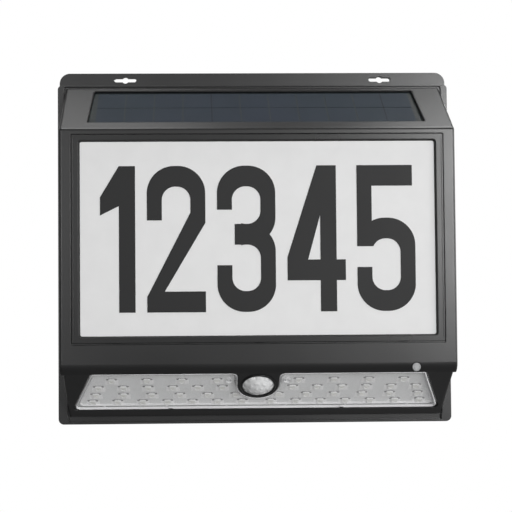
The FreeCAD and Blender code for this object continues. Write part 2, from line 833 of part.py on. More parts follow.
def digits():
    glyphs = [glyph_1(), glyph_2(), glyph_3(), glyph_4(), glyph_5()]
    widths = [one_width] + [digit_width] * 4
    total = sum(widths) + digit_gap * 4
    x = -total / 2
    placed = []
    for glyph, width in zip(glyphs, widths):
        glyph.translate(Vec(x, -digit_height / 2 - 0.4, panel_front))
        placed.append(on(window_face, glyph))
        x += width + digit_gap
    return placed


# ---- solar panel ------------------------------------------------------------

def solar_layer(thick, top, shrink=0.0):
    return on(solar_face, block(solar_board_width() - shrink, solar_board_height() - shrink, 1.2,
                                top - thick, top, 0, solar_board_middle()))


def solar_seal():
    body = block(solar_board_width(), solar_board_height(), 1.2, -solar_inset - solar_seal_thick,
                 -solar_inset, 0, solar_board_middle())
    low = solar_window_start
    hole = trapezoid(solar_top_width / 2 + 0.4, solar_bottom_width / 2 + 0.4, low + solar_window_height + 0.4,
                     low - 0.4)
    return on(solar_face, body.cut(plate(hole, 0.5, -10, 1)))


def solar_cells():
    width = cell_pitch_x - cell_gap
    height = cell_pitch_y - cell_gap
    cells = []
    for i in range(solar_columns):
        for j in range(solar_rows):
            x = (i - (solar_columns - 1) / 2) * cell_pitch_x
            y = solar_window_middle() + (j - (solar_rows - 1) / 2) * cell_pitch_y
            cells.append(block(width, height, 0, board_top, cell_top, x, y))
    return on(solar_face, group(cells))


# ---- lamp face --------------------------------------------------------------

lamp_side_screw_s = 17.0
notch_screws = [(s * (notch_half + 6.4), -17.5) for s in (-1, 1)]
lens_tab_x = mirrored([40.0, 90.0])


def lamp_screw_places():
    low = lens_end + 0.1
    side = lens_half(lamp_side_screw_s) - 0.1
    return ([(x, -low) for x in mirrored([24.0, 72.0, 122.0])] +
            [(s * side, -lamp_side_screw_s) for s in (-1, 1)] + notch_screws)


def lamp_lens():
    skin = prism(lens_outline(0, 0, 0, 0), lens_inner, lens_front)
    rim = [e for e in skin.Edges if e.BoundBox.ZMin > lens_front - 1e-6]
    skin = skin.makeChamfer(lens_edge, rim)
    walls = prism(lens_outline(0, 0, 0, 0), -lens_back, lens_inner)
    walls = walls.cut(prism(lens_outline(-lens_wall, 6.0, -lens_wall, -notch_wall), -lens_back, lens_inner))
    walls = walls.cut(block(400, lamp_board_start, 0, -lens_back, lens_inner, 0, -lamp_board_start / 2))
    top = lamp_board_start
    flange = prism(lens_outline(lens_flange, 0, lens_flange, 0, top), -lens_back, -shell_wall - 0.8)
    flange = flange.cut(prism(lens_outline(-lens_wall, 6.0, -lens_wall, -notch_wall), -lens_back, lens_inner))
    posts = [disc(2.5, -lens_back, lens_inner, x, y) for x, y in notch_screws]
    tabs = [block(8, 2.6, 0, -shell_wall - 1.6, -shell_wall - 0.5, x, -lens_start + 0.5) for x in lens_tab_x]
    feet = [block(8, 1.6, 0, -shell_wall - 1.6, lens_inner, x, -lens_start - 0.8) for x in lens_tab_x]
    body = skin.fuse([walls, flange] + posts + tabs + feet)
    cuts = [disc(small_screw[0], -lens_back, -shell_wall - 0.7, x, y) for x, y in lamp_screw_places()]
    for x in (-clip_notch_x, clip_notch_x):
        cuts.append(block(3.4, 2.0, 0.3, -lens_back + 2.6, lens_front, x, -lens_end + 0.6))
    return on(lamp_face, body.cut(cuts).removeSplitter())


def lens_gasket():
    outer = prism(lens_outline(lens_flange - 0.1, 0, lens_flange - 0.1, 0, lamp_board_start),
                  -shell_wall - 0.8, -shell_wall)
    hole = prism(lens_outline(lens_side_gap, 12.0, fit_gap, -0.8, lamp_board_start), -10, 1)
    strips = outer.cut(hole)
    return on(lamp_face, group([s for s in strips.Solids if s.BoundBox.XLength > lens_top_half]))


def lamp_board():
    body = prism(lens_outline(lens_flange - 0.4, 0, lens_flange - 0.4, -2.4, lamp_board_start),
                 lamp_board_low, -lens_back)
    cuts = [disc(small_screw[0] + 0.15, -20, 0, x, y) for x, y in lamp_screw_places()]
    return on(lamp_face, body.cut(cuts))


def lamp_leds():
    lamps = []
    for s, past_notch, pitch, count in led_rows:
        for x in mirrored([notch_half + past_notch + i * pitch for i in range(count)]):
            body = block(led_size, led_size, 0, -lens_back, -lens_back + led_height, x, -s)
            cup = Part.makeCone(1.7, 2.0, 0.5, Vec(x, -s, -lens_back + led_height - 0.5), Z_AXIS)
            lamps.append(body.cut(cup))
    return on(lamp_face, group(lamps))


def lamp_board_screws():
    low = lamp_board_low - small_screw[2]
    long = -shell_wall - lamp_screw_stop - low
    return on(lamp_face, group([screw(small_screw, long, low, x, y) for x, y in lamp_screw_places()]))


# ---- motion sensor ----------------------------------------------------------

dome_flange_top = -shell_wall - 0.2
dome_flange_low = dome_flange_top - 1.2
sensor_board_top = dome_flange_low - 8.0
sensor_board_low = sensor_board_top - 1.2


def on_sensor(shape):
    moved = shape.copy()
    moved.translate(Vec(0, -sensor_s, 0))
    return on(lamp_face, moved)


def pir_dome():
    centre = Vec(0, 0, -dome_sink)
    above = disc(dome_radius, 0, dome_height + 1)
    cap = Part.makeSphere(dome_sphere, centre).common(above)
    skirt = disc(dome_radius, dome_flange_low, 0)
    flange = disc(tube_inner - 0.2, dome_flange_low, dome_flange_top)
    inner = dome_sphere - dome_wall
    bore = math.sqrt(inner ** 2 - dome_sink ** 2)
    hollow = Part.makeSphere(inner, centre).common(above)
    return on_sensor(cap.fuse([skirt, flange]).cut([hollow, disc(bore, dome_flange_low, 0)]).removeSplitter())


def pir_ring():
    body = ring(sensor_ring_radius, ring_bore, 0, sensor_ring_height)
    rim = [e for e in body.Edges if e.BoundBox.ZMin > sensor_ring_height - 1e-6]
    body = body.makeChamfer(0.35, rim)
    sleeve = ring(ring_bore + ring_sleeve, ring_bore, -shell_wall + 0.1, 0)
    return on_sensor(body.fuse(sleeve).removeSplitter())


def pir_spacer():
    return on_sensor(ring(tube_inner - 0.2, tube_inner - 2.2, sensor_board_top, dome_flange_low))


def pir_board():
    return on_sensor(disc(tube_inner - 0.2, sensor_board_low, sensor_board_top))


def pir_sensor():
    can = disc(4.1, sensor_board_top, sensor_board_top + 4.0).fuse(disc(4.6, sensor_board_top,
                                                                       sensor_board_top + 0.5))
    return on_sensor(can.cut(block(4.2, 3.2, 0, sensor_board_top + 3.6, sensor_board_top + 4.0)))


def pir_filter():
    return on_sensor(block(4.1, 3.1, 0, sensor_board_top + 3.6, sensor_board_top + 3.9))


def pir_retaining_ring():
    return on_sensor(ring(tube_inner - 0.02, tube_inner - 2.4, -tube_depth, sensor_board_low))


# ---- push button ------------------------------------------------------------

def button_solid():
    cap = disc(button_radius, -button_cap_depth, button_proud)
    rim = [e for e in cap.Edges if e.BoundBox.ZMin > button_proud - 1e-6]
    cap = cap.makeFillet(0.5, rim)
    groove = ring(button_radius * 0.72, button_radius * 0.60, button_proud - 0.15, button_proud)
    flange = flat_disc(button_radius + button_flange_rim, -button_flange_depth - button_flange_thick,
                       -button_flange_depth, button_flange_cut)
    neck = disc(stem_radius + 0.9, -button_flange_depth, -button_cap_depth)
    stem = disc(stem_radius, button_stem_end, -button_flange_depth)
    return cap.cut(groove).fuse([neck, flange, stem]).removeSplitter()


def mode_button():
    body = button_solid()
    body.translate(Vec(button_x, button_z, 0))
    return on(front_face, body)


def switch_plunger():
    return on(front_face, disc(1.7, switch_front - 1.0, button_stem_end, button_x, button_z))


def switch_body():
    body = block(switch_size, switch_size, 0.4, switch_back, switch_front, button_x, button_z)
    return on(front_face, body.cut(disc(1.9, switch_front - 1.0 - button_travel - 0.3, switch_front,
                                        button_x, button_z)))


def switch_board():
    body = block(switch_board_size[0], switch_board_size[1], 1, switch_board_back, switch_back,
                 switch_centre[0], switch_centre[1])
    return on(front_face, body.cut([disc(small_screw[0] + 0.15, -20, 0, x, z) for x, z in switch_screws]))


def switch_board_screws():
    low = switch_board_back - small_screw[2]
    return on(front_face, group([screw(small_screw, 6.0, low, x, z) for x, z in switch_screws]))


# ---- control board ----------------------------------------------------------

board_low = plate_floor + board_rise
board_high = board_low + 1.6
connector_places = [(board_centre[0] - 34.0 + i * 13.0, board_centre[1] + 23.0) for i in range(1, 6)]


def control_board():
    body = block(board_size[0], board_size[1], 2, board_low, board_high, *board_centre)
    return on(back_face, body.cut([disc(small_screw[0] + 0.15, 0, 20, x, z) for x, z in board_posts]))


def board_chips():
    x, z = board_centre
    chips = [(10.0, 10.0, 1.2, x - 6, z - 2), (5.0, 4.0, 1.5, x + 14, z + 6), (5.0, 4.0, 1.5, x + 14, z - 8),
             (6.5, 6.2, 2.2, x - 26, z - 10), (6.5, 6.2, 2.2, x - 26, z + 2)]
    return on(back_face, group([block(w, h, 0.2, board_high, board_high + t, cx, cz)
                                for w, h, t, cx, cz in chips]))


def board_connectors():
    shells = []
    for x, z in connector_places:
        body = block(7.4, 5.8, 0, board_high, board_high + 6.0, x, z)
        shells.append(body.cut(block(6.0, 4.4, 0, board_high + 1.2, board_high + 6.0, x, z)))
    return on(back_face, group(shells))


def board_capacitor():
    x = board_centre[0] + 27
    z = board_centre[1] - 12
    can = disc(4.0, board_high, board_high + 11.5, x, z)
    rim = [e for e in can.Edges if e.BoundBox.ZMin > board_high + 11.4]
    return on(back_face, can.makeFillet(0.6, rim))


def board_inductor():
    x = board_centre[0] + 27
    z = board_centre[1] + 6
    core = disc(3.6, board_high, board_high + 5.4, x, z)
    flanges = [disc(4.8, board_high + low, board_high + low + 1.2, x, z) for low in (0, 4.2)]
    return on(back_face, core.fuse(flanges).removeSplitter())


def control_board_screws():
    screws = []
    for x, z in board_posts:
        one = screw(small_screw, 5.6)
        one.rotate(Vec(0, 0, 0), Vec(1, 0, 0), 180)
        one.translate(Vec(x, z, board_high + small_screw[2]))
        screws.append(one)
    return on(back_face, group(screws))


# ---- battery ----------------------------------------------------------------

cell_radius = 9.2
cell_length = 65.0
holder_low = plate_floor + 2.0
holder_floor = 1.6
holder_wall = 1.6
cell_axis = holder_low + holder_floor + cell_radius + 0.3
cell_rows = (holder_centre[1] - 9.9, holder_centre[1] + 9.9)


def cylinder_x(radius, x0, x1, y, z):
    return Part.makeCylinder(radius, x1 - x0, Vec(x0, y, z), Vec(1, 0, 0))


def battery_holder():
    x, z = holder_centre
    width, height = holder_size
    body = block(width, height, 1.5, holder_low, holder_low + 14.0, x, z)
    cuts = [block(width - 2 * holder_wall, height - 2 * holder_wall, 0.5, holder_low + holder_floor,
                  holder_low + 14.0, x, z)]
    adds = []
    cradle = block(width - 14, height - 2 * holder_wall, 0, holder_low + 1, holder_low + 6.0, x, z)
    for row in cell_rows:
        cradle = cradle.cut(cylinder_x(cell_radius + 0.25, x - width / 2, x + width / 2, row, cell_axis))
    adds.append(cradle)
    screw_x = [x + s * holder_screw_x for s in (-1, 1)]
    wells = [disc(2.2, holder_low + 0.01, holder_low + 7.0, sx, z) for sx in screw_x]
    body = body.cut(cuts).fuse(adds).cut(wells)
    holes = [disc(small_screw[0] + 0.15, holder_low - 1, holder_low + 3, sx, z) for sx in screw_x]
    floor = [disc(2.6, holder_low, holder_low + holder_floor, sx, z) for sx in screw_x]
    return on(back_face, body.fuse(floor).cut(holes).removeSplitter())


def battery_holder_screws():
    x, z = holder_centre
    screws = []
    for s in (-1, 1):
        one = screw(small_screw, 4.6)
        one.rotate(Vec(0, 0, 0), Vec(1, 0, 0), 180)
        one.translate(Vec(x + s * holder_screw_x, z, holder_low + holder_floor + small_screw[2]))
        screws.append(one)
    return on(back_face, group(screws))


def battery_cells():
    x = holder_centre[0]
    cells = []
    for row, way in zip(cell_rows, (1, -1)):
        can = cylinder_x(cell_radius, x - cell_length / 2, x + cell_length / 2, row, cell_axis)
        ends = [e for e in can.Edges if e.BoundBox.XLength < 1e-6]
        can = can.makeFillet(0.8, ends)
        tip = x + way * cell_length / 2
        cap = cylinder_x(3.0, min(tip, tip + way), max(tip, tip + way), row, cell_axis)
        cells.append(can.fuse(cap))
    return on(back_face, group(cells))


def battery_contacts():
    x = holder_centre[0]
    reach = holder_size[0] / 2 - holder_wall
    plates = []
    for row, way in zip(cell_rows, (1, -1)):
        for side in (-1, 1):
            far = x + side * reach
            touch = x + side * (cell_length / 2 + (1.0 if side == way else 0.0))
            back_plate = block(0.4, 12.0, 0, holder_low + 4, holder_low + 15.5, far - side * 0.25, row)
            low = min(far - side * 0.45, touch)
            high = max(far - side * 0.45, touch)
            leaf = block(high - low, 5.0, 0, cell_axis - 0.3, cell_axis + 0.3, (low + high) / 2, row)
            pad = block(0.4, 6.0, 0, cell_axis - 3.0, cell_axis + 3.0, touch + side * 0.2, row)
            plates.append(back_plate.fuse([leaf, pad]).removeSplitter())
    return on(back_face, group(plates))


# ---- leads ------------------------------------------------------------------

lead_radius = 0.8
lead_space = 2.0
lead_end_height = 1.65         # where a lead ends, above the board inside its plug


def lead_pair(points, bend, across):
    """Two insulated leads side by side, spread along one direction."""
    side = Vec(*across)
    side.normalize()
    leads = []
    for s in (-0.5, 0.5):
        shift = side * (s * lead_space)
        leads.append(tube([Vec(*p) + shift for p in points], lead_radius, bend))
    return group(leads)


def plug_point(index):
    x, z = connector_places[index]
    return (x, -(board_high + lead_end_height), z)


def above_plug(index, rise):
    x, z = connector_places[index]
    return (x, -(board_high + rise), z)


def solar_leads():
    x, y, z = plug_point(2)
    end = on_point(solar_face, (x - 8, 30.0, board_top - solar_board_thick))
    lift = on_point(solar_face, (x - 8, 30.0, board_top - solar_board_thick - 9))
    top = front_top_z
    return lead_pair([(x, y, z), above_plug(2, 14), (x - 2, -27, z + 20), (x - 6, -29, top - 30.6),
                      (x - 8, -24, top - 6.6), (x - 8, -20, top + 7.4), lift, end], 12, (1, 0, 0))


def backlight_wires():
    x, y, z = plug_point(0)
    end_x = backlight_exit[0]
    end_z = window_centre_z + backlight_exit[1]
    floor_y = front_y - tray_floor_front
    return lead_pair([(x, y, z), above_plug(0, 12), (x - 14, -27, z - 6), (-60, -32, -30), (-100, -33, -46),
                      (end_x, -33.0, end_z), (end_x, floor_y, end_z)], 8, (0, 0, 1))


def lamp_wires():
    x, y, z = plug_point(4)
    end = on_point(lamp_face, (x, -20.0, lamp_board_low))
    lift = on_point(lamp_face, (x, -20.0, lamp_board_low - 9))
    low = front_corner_z
    return lead_pair([(x, y, z), above_plug(4, 16), (x + 6, -29, z - 20), (x + 6, -28, low + 31),
                      (x + 2, -24, low + 7), lift, end], 8, (1, 0, 0))


def sensor_wires():
    x, y, z = plug_point(3)
    end = on_point(lamp_face, (0, -sensor_s, sensor_board_low))
    lift = on_point(lamp_face, (0, -sensor_s, sensor_board_low - 9))
    low = front_corner_z
    return lead_pair([(x, y, z), above_plug(3, 12), (x - 6, -25, z - 24), (20, -22, low + 37),
                      (5, -16, low + 17), lift, end], 6, (0.9, 0.3, -0.27))


def battery_wires():
    x, y, z = plug_point(1)
    plate_x = holder_centre[0] + holder_size[0] / 2 - holder_wall - 0.25
    plate_y = -(holder_low + 15.5)
    leads = []
    for s, row in zip((-0.5, 0.5), cell_rows):
        start = (x + s * lead_space, y, z)
        rise = (x + s * lead_space, -(board_high + 14), z)
        turn = (plate_x + 14 - s * 4, -30, row - 12 + s * 3)
        leads.append(tube([start, rise, (x + s * 4 - 6, -28, z + 18), turn, (plate_x, -29, row),
                           (plate_x, plate_y, row)], lead_radius, 6))
    return group(leads)


def switch_wires():
    x = board_centre[0] + board_size[0] / 2 - 5.0
    z = board_centre[1] - board_size[1] / 2 + 12.0
    back = front_y - switch_board_back
    end_x = button_x + 3.0
    end_z = button_z + 5.8
    return lead_pair([(x, -board_high, z), (x, -(board_high + 9), z), (x + 12, -22, z - 12),
                      (button_x - 14.8, -27, button_z + 29.8), (end_x, -29, button_z + 11.8),
                      (end_x, -35, end_z), (end_x, back, end_z)], 6, (0.6, 0, 0.8))


# ---- build ------------------------------------------------------------------

def build_nodes():
    nodes = {}
    nodes["back_cover"] = back_cover()
    nodes["housing_gasket"] = on(back_face, gasket_solid())
    nodes["housing_screws"] = housing_screws()
    nodes["front_housing"] = front_housing()
    nodes["panel_bezel"] = panel_bezel()
    nodes["number_panel"] = number_panel()
    for i, digit in enumerate(digits()):
        nodes["digit_%d" % (i + 1)] = digit
    nodes["diffuser_film"] = diffuser_film()
    nodes["light_guide"] = light_guide()
    nodes["reflector_sheet"] = reflector_sheet()
    nodes["backlight_board"] = backlight_board()
    nodes["backlight_leds"] = backlight_leds()
    nodes["light_tray"] = light_tray()
    nodes["light_tray_screws"] = light_tray_screws()
    nodes["solar_seal"] = solar_seal()
    nodes["solar_cover"] = solar_layer(solar_sheet_thick, sheet_top)
    nodes["solar_cells"] = solar_cells()
    nodes["solar_board"] = solar_layer(solar_board_thick, board_top)
    nodes["lamp_lens"] = lamp_lens()
    nodes["lens_gasket"] = lens_gasket()
    nodes["lamp_board"] = lamp_board()
    nodes["lamp_leds"] = lamp_leds()
    nodes["lamp_board_screws"] = lamp_board_screws()
    nodes["pir_dome"] = pir_dome()
    nodes["pir_ring"] = pir_ring()
    nodes["pir_spacer"] = pir_spacer()
    nodes["pir_board"] = pir_board()
    nodes["pir_sensor"] = pir_sensor()
    nodes["pir_filter"] = pir_filter()
    nodes["pir_retaining_ring"] = pir_retaining_ring()
    nodes["mode_button"] = mode_button()
    nodes["switch_plunger"] = switch_plunger()
    nodes["switch_body"] = switch_body()
    nodes["switch_board"] = switch_board()
    nodes["switch_board_screws"] = switch_board_screws()
    nodes["control_board"] = control_board()
    nodes["board_chips"] = board_chips()
    nodes["board_connectors"] = board_connectors()
    nodes["board_capacitor"] = board_capacitor()
    nodes["board_inductor"] = board_inductor()
    nodes["control_board_screws"] = control_board_screws()
    nodes["battery_holder"] = battery_holder()
    nodes["battery_holder_screws"] = battery_holder_screws()
    nodes["battery_cells"] = battery_cells()
    nodes["battery_contacts"] = battery_contacts()
    nodes["solar_leads"] = solar_leads()
    nodes["backlight_wires"] = backlight_wires()
    nodes["lamp_wires"] = lamp_wires()
    nodes["sensor_wires"] = sensor_wires()
    nodes["battery_wires"] = battery_wires()
    nodes["switch_wires"] = switch_wires()
    return nodes


def main():
    os.makedirs("parts", exist_ok=True)
    for name, shape in build_nodes().items():
        box = shape.BoundBox
        print("%-22s solids %2d  volume %10.1f  valid %s  x %.1f..%.1f  y %.1f..%.1f  z %.1f..%.1f" % (
            name, len(shape.Solids), shape.Volume, shape.isValid(), box.XMin, box.XMax, box.YMin, box.YMax,
            box.ZMin, box.ZMax))
        shape.exportStep("parts/%s.step" % name)


main()
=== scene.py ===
import bmesh
import bpy
import json
import math
from mathutils import Matrix, Vector


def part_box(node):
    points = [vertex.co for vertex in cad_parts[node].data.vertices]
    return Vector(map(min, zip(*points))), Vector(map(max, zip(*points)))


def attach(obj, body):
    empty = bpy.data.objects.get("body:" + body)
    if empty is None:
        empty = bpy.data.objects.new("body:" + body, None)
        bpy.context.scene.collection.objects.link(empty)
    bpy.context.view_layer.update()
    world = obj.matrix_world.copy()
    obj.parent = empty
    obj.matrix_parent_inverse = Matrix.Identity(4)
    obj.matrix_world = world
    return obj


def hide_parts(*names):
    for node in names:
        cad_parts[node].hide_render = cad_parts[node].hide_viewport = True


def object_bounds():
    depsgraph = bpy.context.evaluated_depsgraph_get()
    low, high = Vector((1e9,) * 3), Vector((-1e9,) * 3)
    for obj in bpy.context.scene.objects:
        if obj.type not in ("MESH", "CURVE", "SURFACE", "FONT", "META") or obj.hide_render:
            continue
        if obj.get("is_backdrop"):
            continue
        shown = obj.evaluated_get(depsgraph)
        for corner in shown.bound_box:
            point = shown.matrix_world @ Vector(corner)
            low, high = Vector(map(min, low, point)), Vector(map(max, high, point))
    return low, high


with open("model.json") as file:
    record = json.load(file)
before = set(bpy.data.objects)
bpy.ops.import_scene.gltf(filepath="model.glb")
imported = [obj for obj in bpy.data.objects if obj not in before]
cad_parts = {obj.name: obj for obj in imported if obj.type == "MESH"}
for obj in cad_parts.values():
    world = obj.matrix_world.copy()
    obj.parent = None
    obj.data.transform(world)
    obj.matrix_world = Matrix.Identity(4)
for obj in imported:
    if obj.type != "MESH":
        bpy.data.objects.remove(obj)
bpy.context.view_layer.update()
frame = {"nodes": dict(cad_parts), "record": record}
nodes = frame["nodes"]
mm = 0.001
sameCorner = 1e-6                                # metres within which two corners are one
print("frame loaded:", len(nodes), "pieces")


def linked(name, data):
    made = bpy.data.objects.new(name, data)
    bpy.context.scene.collection.objects.link(made)
    return made


def turnAbout(axis, degrees):
    return Matrix.Rotation(math.radians(degrees), 4, axis)


# camera, at the photograph's viewing angle

camera = dict(place=(-54.0, -793.9, -47.9), yaw=-1.1, tilt=91.7, roll=-0.41, sensor=36, lens=68.1,
              shift=(0.096, 0.0414))       # millimetres and degrees


def addCamera(view):
    data = bpy.data.cameras.new("camera")
    made = linked("camera", data)
    data.sensor_width = view["sensor"]
    data.lens = view["lens"]
    data.shift_x, data.shift_y = view["shift"]
    turn = turnAbout("Z", view["yaw"]) @ turnAbout("X", view["tilt"]) @ turnAbout("Z", view["roll"])
    made.matrix_world = Matrix.Translation(Vector(view["place"]) * mm) @ turn
    bpy.context.scene.camera = made


addCamera(camera)
print("camera placed")

# the faces that carry pieces: turn about X that brings a piece's +Z out of each face

slopeAngle = 48                                  # between each slope and the upright front
turnOf = dict(front=90, back=-90, solar=90 - slopeAngle, lamp=90 + slopeAngle, lampInside=270 + slopeAngle)


def faceTurn(name):
    return turnAbout("X", turnOf[name])


# helpers for node trees

def addNode(tree, kind, inputs=None, **settings):
    node = tree.nodes.new(kind)
    for name, value in settings.items():
        setattr(node, name, value)
    for name, value in (inputs or {}).items():
        if isinstance(value, bpy.types.NodeSocket):
            tree.links.new(value, node.inputs[name])
        else:
            node.inputs[name].default_value = value
    return node


def startMaterial(name):
    made = bpy.data.materials.new(name)
    made.use_nodes = True
    made.node_tree.nodes.clear()
    return made, made.node_tree


def endMaterial(tree, shader):
    addNode(tree, "ShaderNodeOutputMaterial", {"Surface": shader.outputs[0]})


def objectPlace(tree, stretch=(1, 1, 1), turn=(0, 0, 0)):
    place = addNode(tree, "ShaderNodeTexCoord").outputs["Object"]
    inputs = {"Vector": place, "Scale": stretch, "Rotation": turn}
    return addNode(tree, "ShaderNodeMapping", inputs).outputs[0]


def noise(tree, scale, detail=2, stretch=(1, 1, 1)):
    inputs = {"Vector": objectPlace(tree, stretch), "Scale": scale, "Detail": detail}
    return addNode(tree, "ShaderNodeTexNoise", inputs).outputs["Fac"]


def spread(tree, value, low, high, fromLow=0.3, fromHigh=0.7):
    # maps a value to low..high; most of a noise lies in the usual range it is taken from
    inputs = {"Value": value, "From Min": fromLow, "From Max": fromHigh, "To Min": low, "To Max": high}
    return addNode(tree, "ShaderNodeMapRange", inputs).outputs[0]


def blendColour(tree, value, first, second):
    inputs = {0: value}
    for socket, colour in ((6, first), (7, second)):      # the node's two colour sockets
        inputs[socket] = colour if isinstance(colour, bpy.types.NodeSocket) else list(colour) + [1]
    return addNode(tree, "ShaderNodeMix", inputs, data_type="RGBA").outputs[2]


def tint(tree, value, colour, amount):
    # a colour that wanders between a darker and a paler one
    dark = [c * (1 - amount) for c in colour]
    pale = [min(1, c * (1 + amount)) for c in colour]
    return blendColour(tree, value, dark, pale)


cornerLimits = (0.75, 0.99)                      # match of rounded and flat normal, on a corner and on a flat


def edgeMask(tree, rounded):
    # 1 on a rounded corner, 0 on a flat
    flat = addNode(tree, "ShaderNodeNewGeometry").outputs["Normal"]
    match = addNode(tree, "ShaderNodeVectorMath", {0: rounded, 1: flat}, operation="DOT_PRODUCT")
    return spread(tree, match.outputs["Value"], 1, 0, *cornerLimits)


def principled(tree, look, colour, rough, normal):
    inputs = {"Base Color": colour, "Roughness": rough, "Normal": normal, "Metallic": look["metal"],
              "Specular IOR Level": look["gloss"], "Alpha": look["alpha"], "Coat Weight": look["coat"],
              "Coat Roughness": look["coatRough"]}
    return addNode(tree, "ShaderNodeBsdfPrincipled", inputs)


def grained(tree, look, normal=None):
    # fine mould texture
    grain = noise(tree, look["grainScale"])
    inputs = {"Height": grain, "Strength": look["grain"], "Distance": look["grainDepth"]}
    if normal:
        inputs["Normal"] = normal
    return addNode(tree, "ShaderNodeBump", inputs).outputs[0]


# the kinds of surface; each takes a look and gives its shader

def moulded(tree, look):
    # moulded or painted surface: mottled colour, mould grain, softened edges with a paler colour
    patches = noise(tree, look["patchScale"])
    colour = tint(tree, spread(tree, patches, 0, 1), look["colour"], look["vary"])
    rough = spread(tree, patches, *(look["rough"] * share for share in look["roughShares"]))
    rounded = None
    if look["edge"]:
        inputs = {"Radius": look["edge"]}
        rounded = addNode(tree, "ShaderNodeBevel", inputs, samples=look["edgeSamples"]).outputs[0]
        paleEdge = [min(1, c * look["wear"]) for c in look["colour"]]
        colour = blendColour(tree, edgeMask(tree, rounded), colour, paleEdge)
    return principled(tree, look, colour, rough, grained(tree, look, rounded))


boardPattern = dict(line=0.03, lineSoft=0.2, bias=-0.2, blotchScale=60, blotch=0.12, depth=0.00003)


def circuitBoard(tree, look):
    # solder mask with copper tracks just showing under it
    tracks = addNode(tree, "ShaderNodeTexBrick", {
        "Vector": objectPlace(tree, turn=(math.radians(90), 0, 0)), "Scale": look["trackScale"],
        "Mortar Size": boardPattern["line"], "Mortar Smooth": boardPattern["lineSoft"],
        "Bias": boardPattern["bias"]}).outputs["Fac"]
    colour = blendColour(tree, tracks, look["colour"], look["track"])
    blotches = spread(tree, noise(tree, boardPattern["blotchScale"]), 0, boardPattern["blotch"])
    colour = blendColour(tree, blotches, colour, look["track"])
    bump = addNode(tree, "ShaderNodeBump", {"Height": tracks, "Strength": look["relief"],
                                            "Distance": boardPattern["depth"]})
    return principled(tree, look, colour, look["rough"], bump.outputs[0])


brushing = dict(scale=260, detail=3, vary=0.08, roughShares=(0.8, 1.25), strength=0.15, depth=0.00002)


def brushedMetal(tree, look):
    # fine lines along one axis
    lines = noise(tree, brushing["scale"], brushing["detail"], look["brush"])
    colour = tint(tree, spread(tree, lines, 0, 1), look["colour"], brushing["vary"])
    rough = spread(tree, lines, *(look["rough"] * share for share in brushing["roughShares"]))
    bump = addNode(tree, "ShaderNodeBump", {"Height": lines, "Strength": brushing["strength"],
                                            "Distance": brushing["depth"]})
    return principled(tree, dict(look, metal=1.0), colour, rough, bump.outputs[0])


cellPattern = dict(grainScale=44.0, hueScale=9, hueDetail=1, pale=1.5, paleShare=0.25, paleReach=0.9)


def siliconCell(tree, look):
    # dark blue silicon with a slow drift of hue and fine pale grains
    grains = addNode(tree, "ShaderNodeTexVoronoi", {"Vector": objectPlace(tree),
                                                    "Scale": cellPattern["grainScale"]})
    hue = spread(tree, noise(tree, cellPattern["hueScale"], cellPattern["hueDetail"]), 0, 1)
    colour = blendColour(tree, hue, look["colour"], look["otherColour"])
    sparkle = spread(tree, grains.outputs["Distance"], 0.0, cellPattern["paleShare"],
                     0.0, cellPattern["paleReach"])
    colour = blendColour(tree, sparkle, colour, [c * cellPattern["pale"] for c in look["colour"]])
    return principled(tree, look, colour, look["rough"], grained(tree, look))


turnedLimits = (0.8, 0.98)                       # how squarely a surface faces out, at a rim and on the flat


def paintedRimGlow(tree, look):
    # clear-ish moulding; where the surface turns away from its flat face it is made paler and more opaque, a
    # painted highlight along the rim
    out = faceTurn(look["face"]).to_3x3() @ Vector((0, 0, 1))
    flat = addNode(tree, "ShaderNodeNewGeometry").outputs["Normal"]
    facing = addNode(tree, "ShaderNodeVectorMath", {0: flat, 1: tuple(out)}, operation="DOT_PRODUCT")
    facing = addNode(tree, "ShaderNodeMath", {0: facing.outputs["Value"]}, operation="ABSOLUTE")
    # painted highlight: this mask is 1 on the rim, where the colour turns paler and the surface more opaque
    turned = spread(tree, facing.outputs[0], 1, 0, *turnedLimits)
    clouds = spread(tree, noise(tree, look["cloudScale"]), 0, 1)
    body = tint(tree, clouds, look["colour"], look["vary"])
    colour = blendColour(tree, turned, body, look["edgeColour"])
    shader = principled(tree, look, colour, look["rough"], grained(tree, look))
    alpha = spread(tree, turned, look["alpha"], look["edgeAlpha"], 0, 1)
    tree.links.new(alpha, shader.inputs["Alpha"])
    return shader


def domePlastic(tree, look):
    # milky plastic, with painted shade along the grooves between the lens facets
    line = addNode(tree, "ShaderNodeAttribute", attribute_name="facetGrooveAndShade").outputs["Fac"]
    colour = blendColour(tree, line, look["colour"], look["lineColour"])
    return principled(tree, look, colour, look["rough"], grained(tree, look))


# finishes, one for each material of the sign

# what a finish has where its own line doesn't say; edge and grainDepth are in metres
plainLook = dict(gloss=0.5, metal=0.0, alpha=1.0, coat=0.0, coatRough=0.1, roughShares=(0.93, 1.07),
                 vary=0.06, patchScale=18, edge=0, edgeSamples=6, wear=1.5, grain=0.2, grainScale=1500,
                 grainDepth=0.00005, relief=0.4, brush=(1, 1, 12))
finishes = {}


def addFinish(kind, name, **look):
    made, tree = startMaterial(name)
    endMaterial(tree, kind(tree, {**plainLook, **look}))
    finishes[name] = made


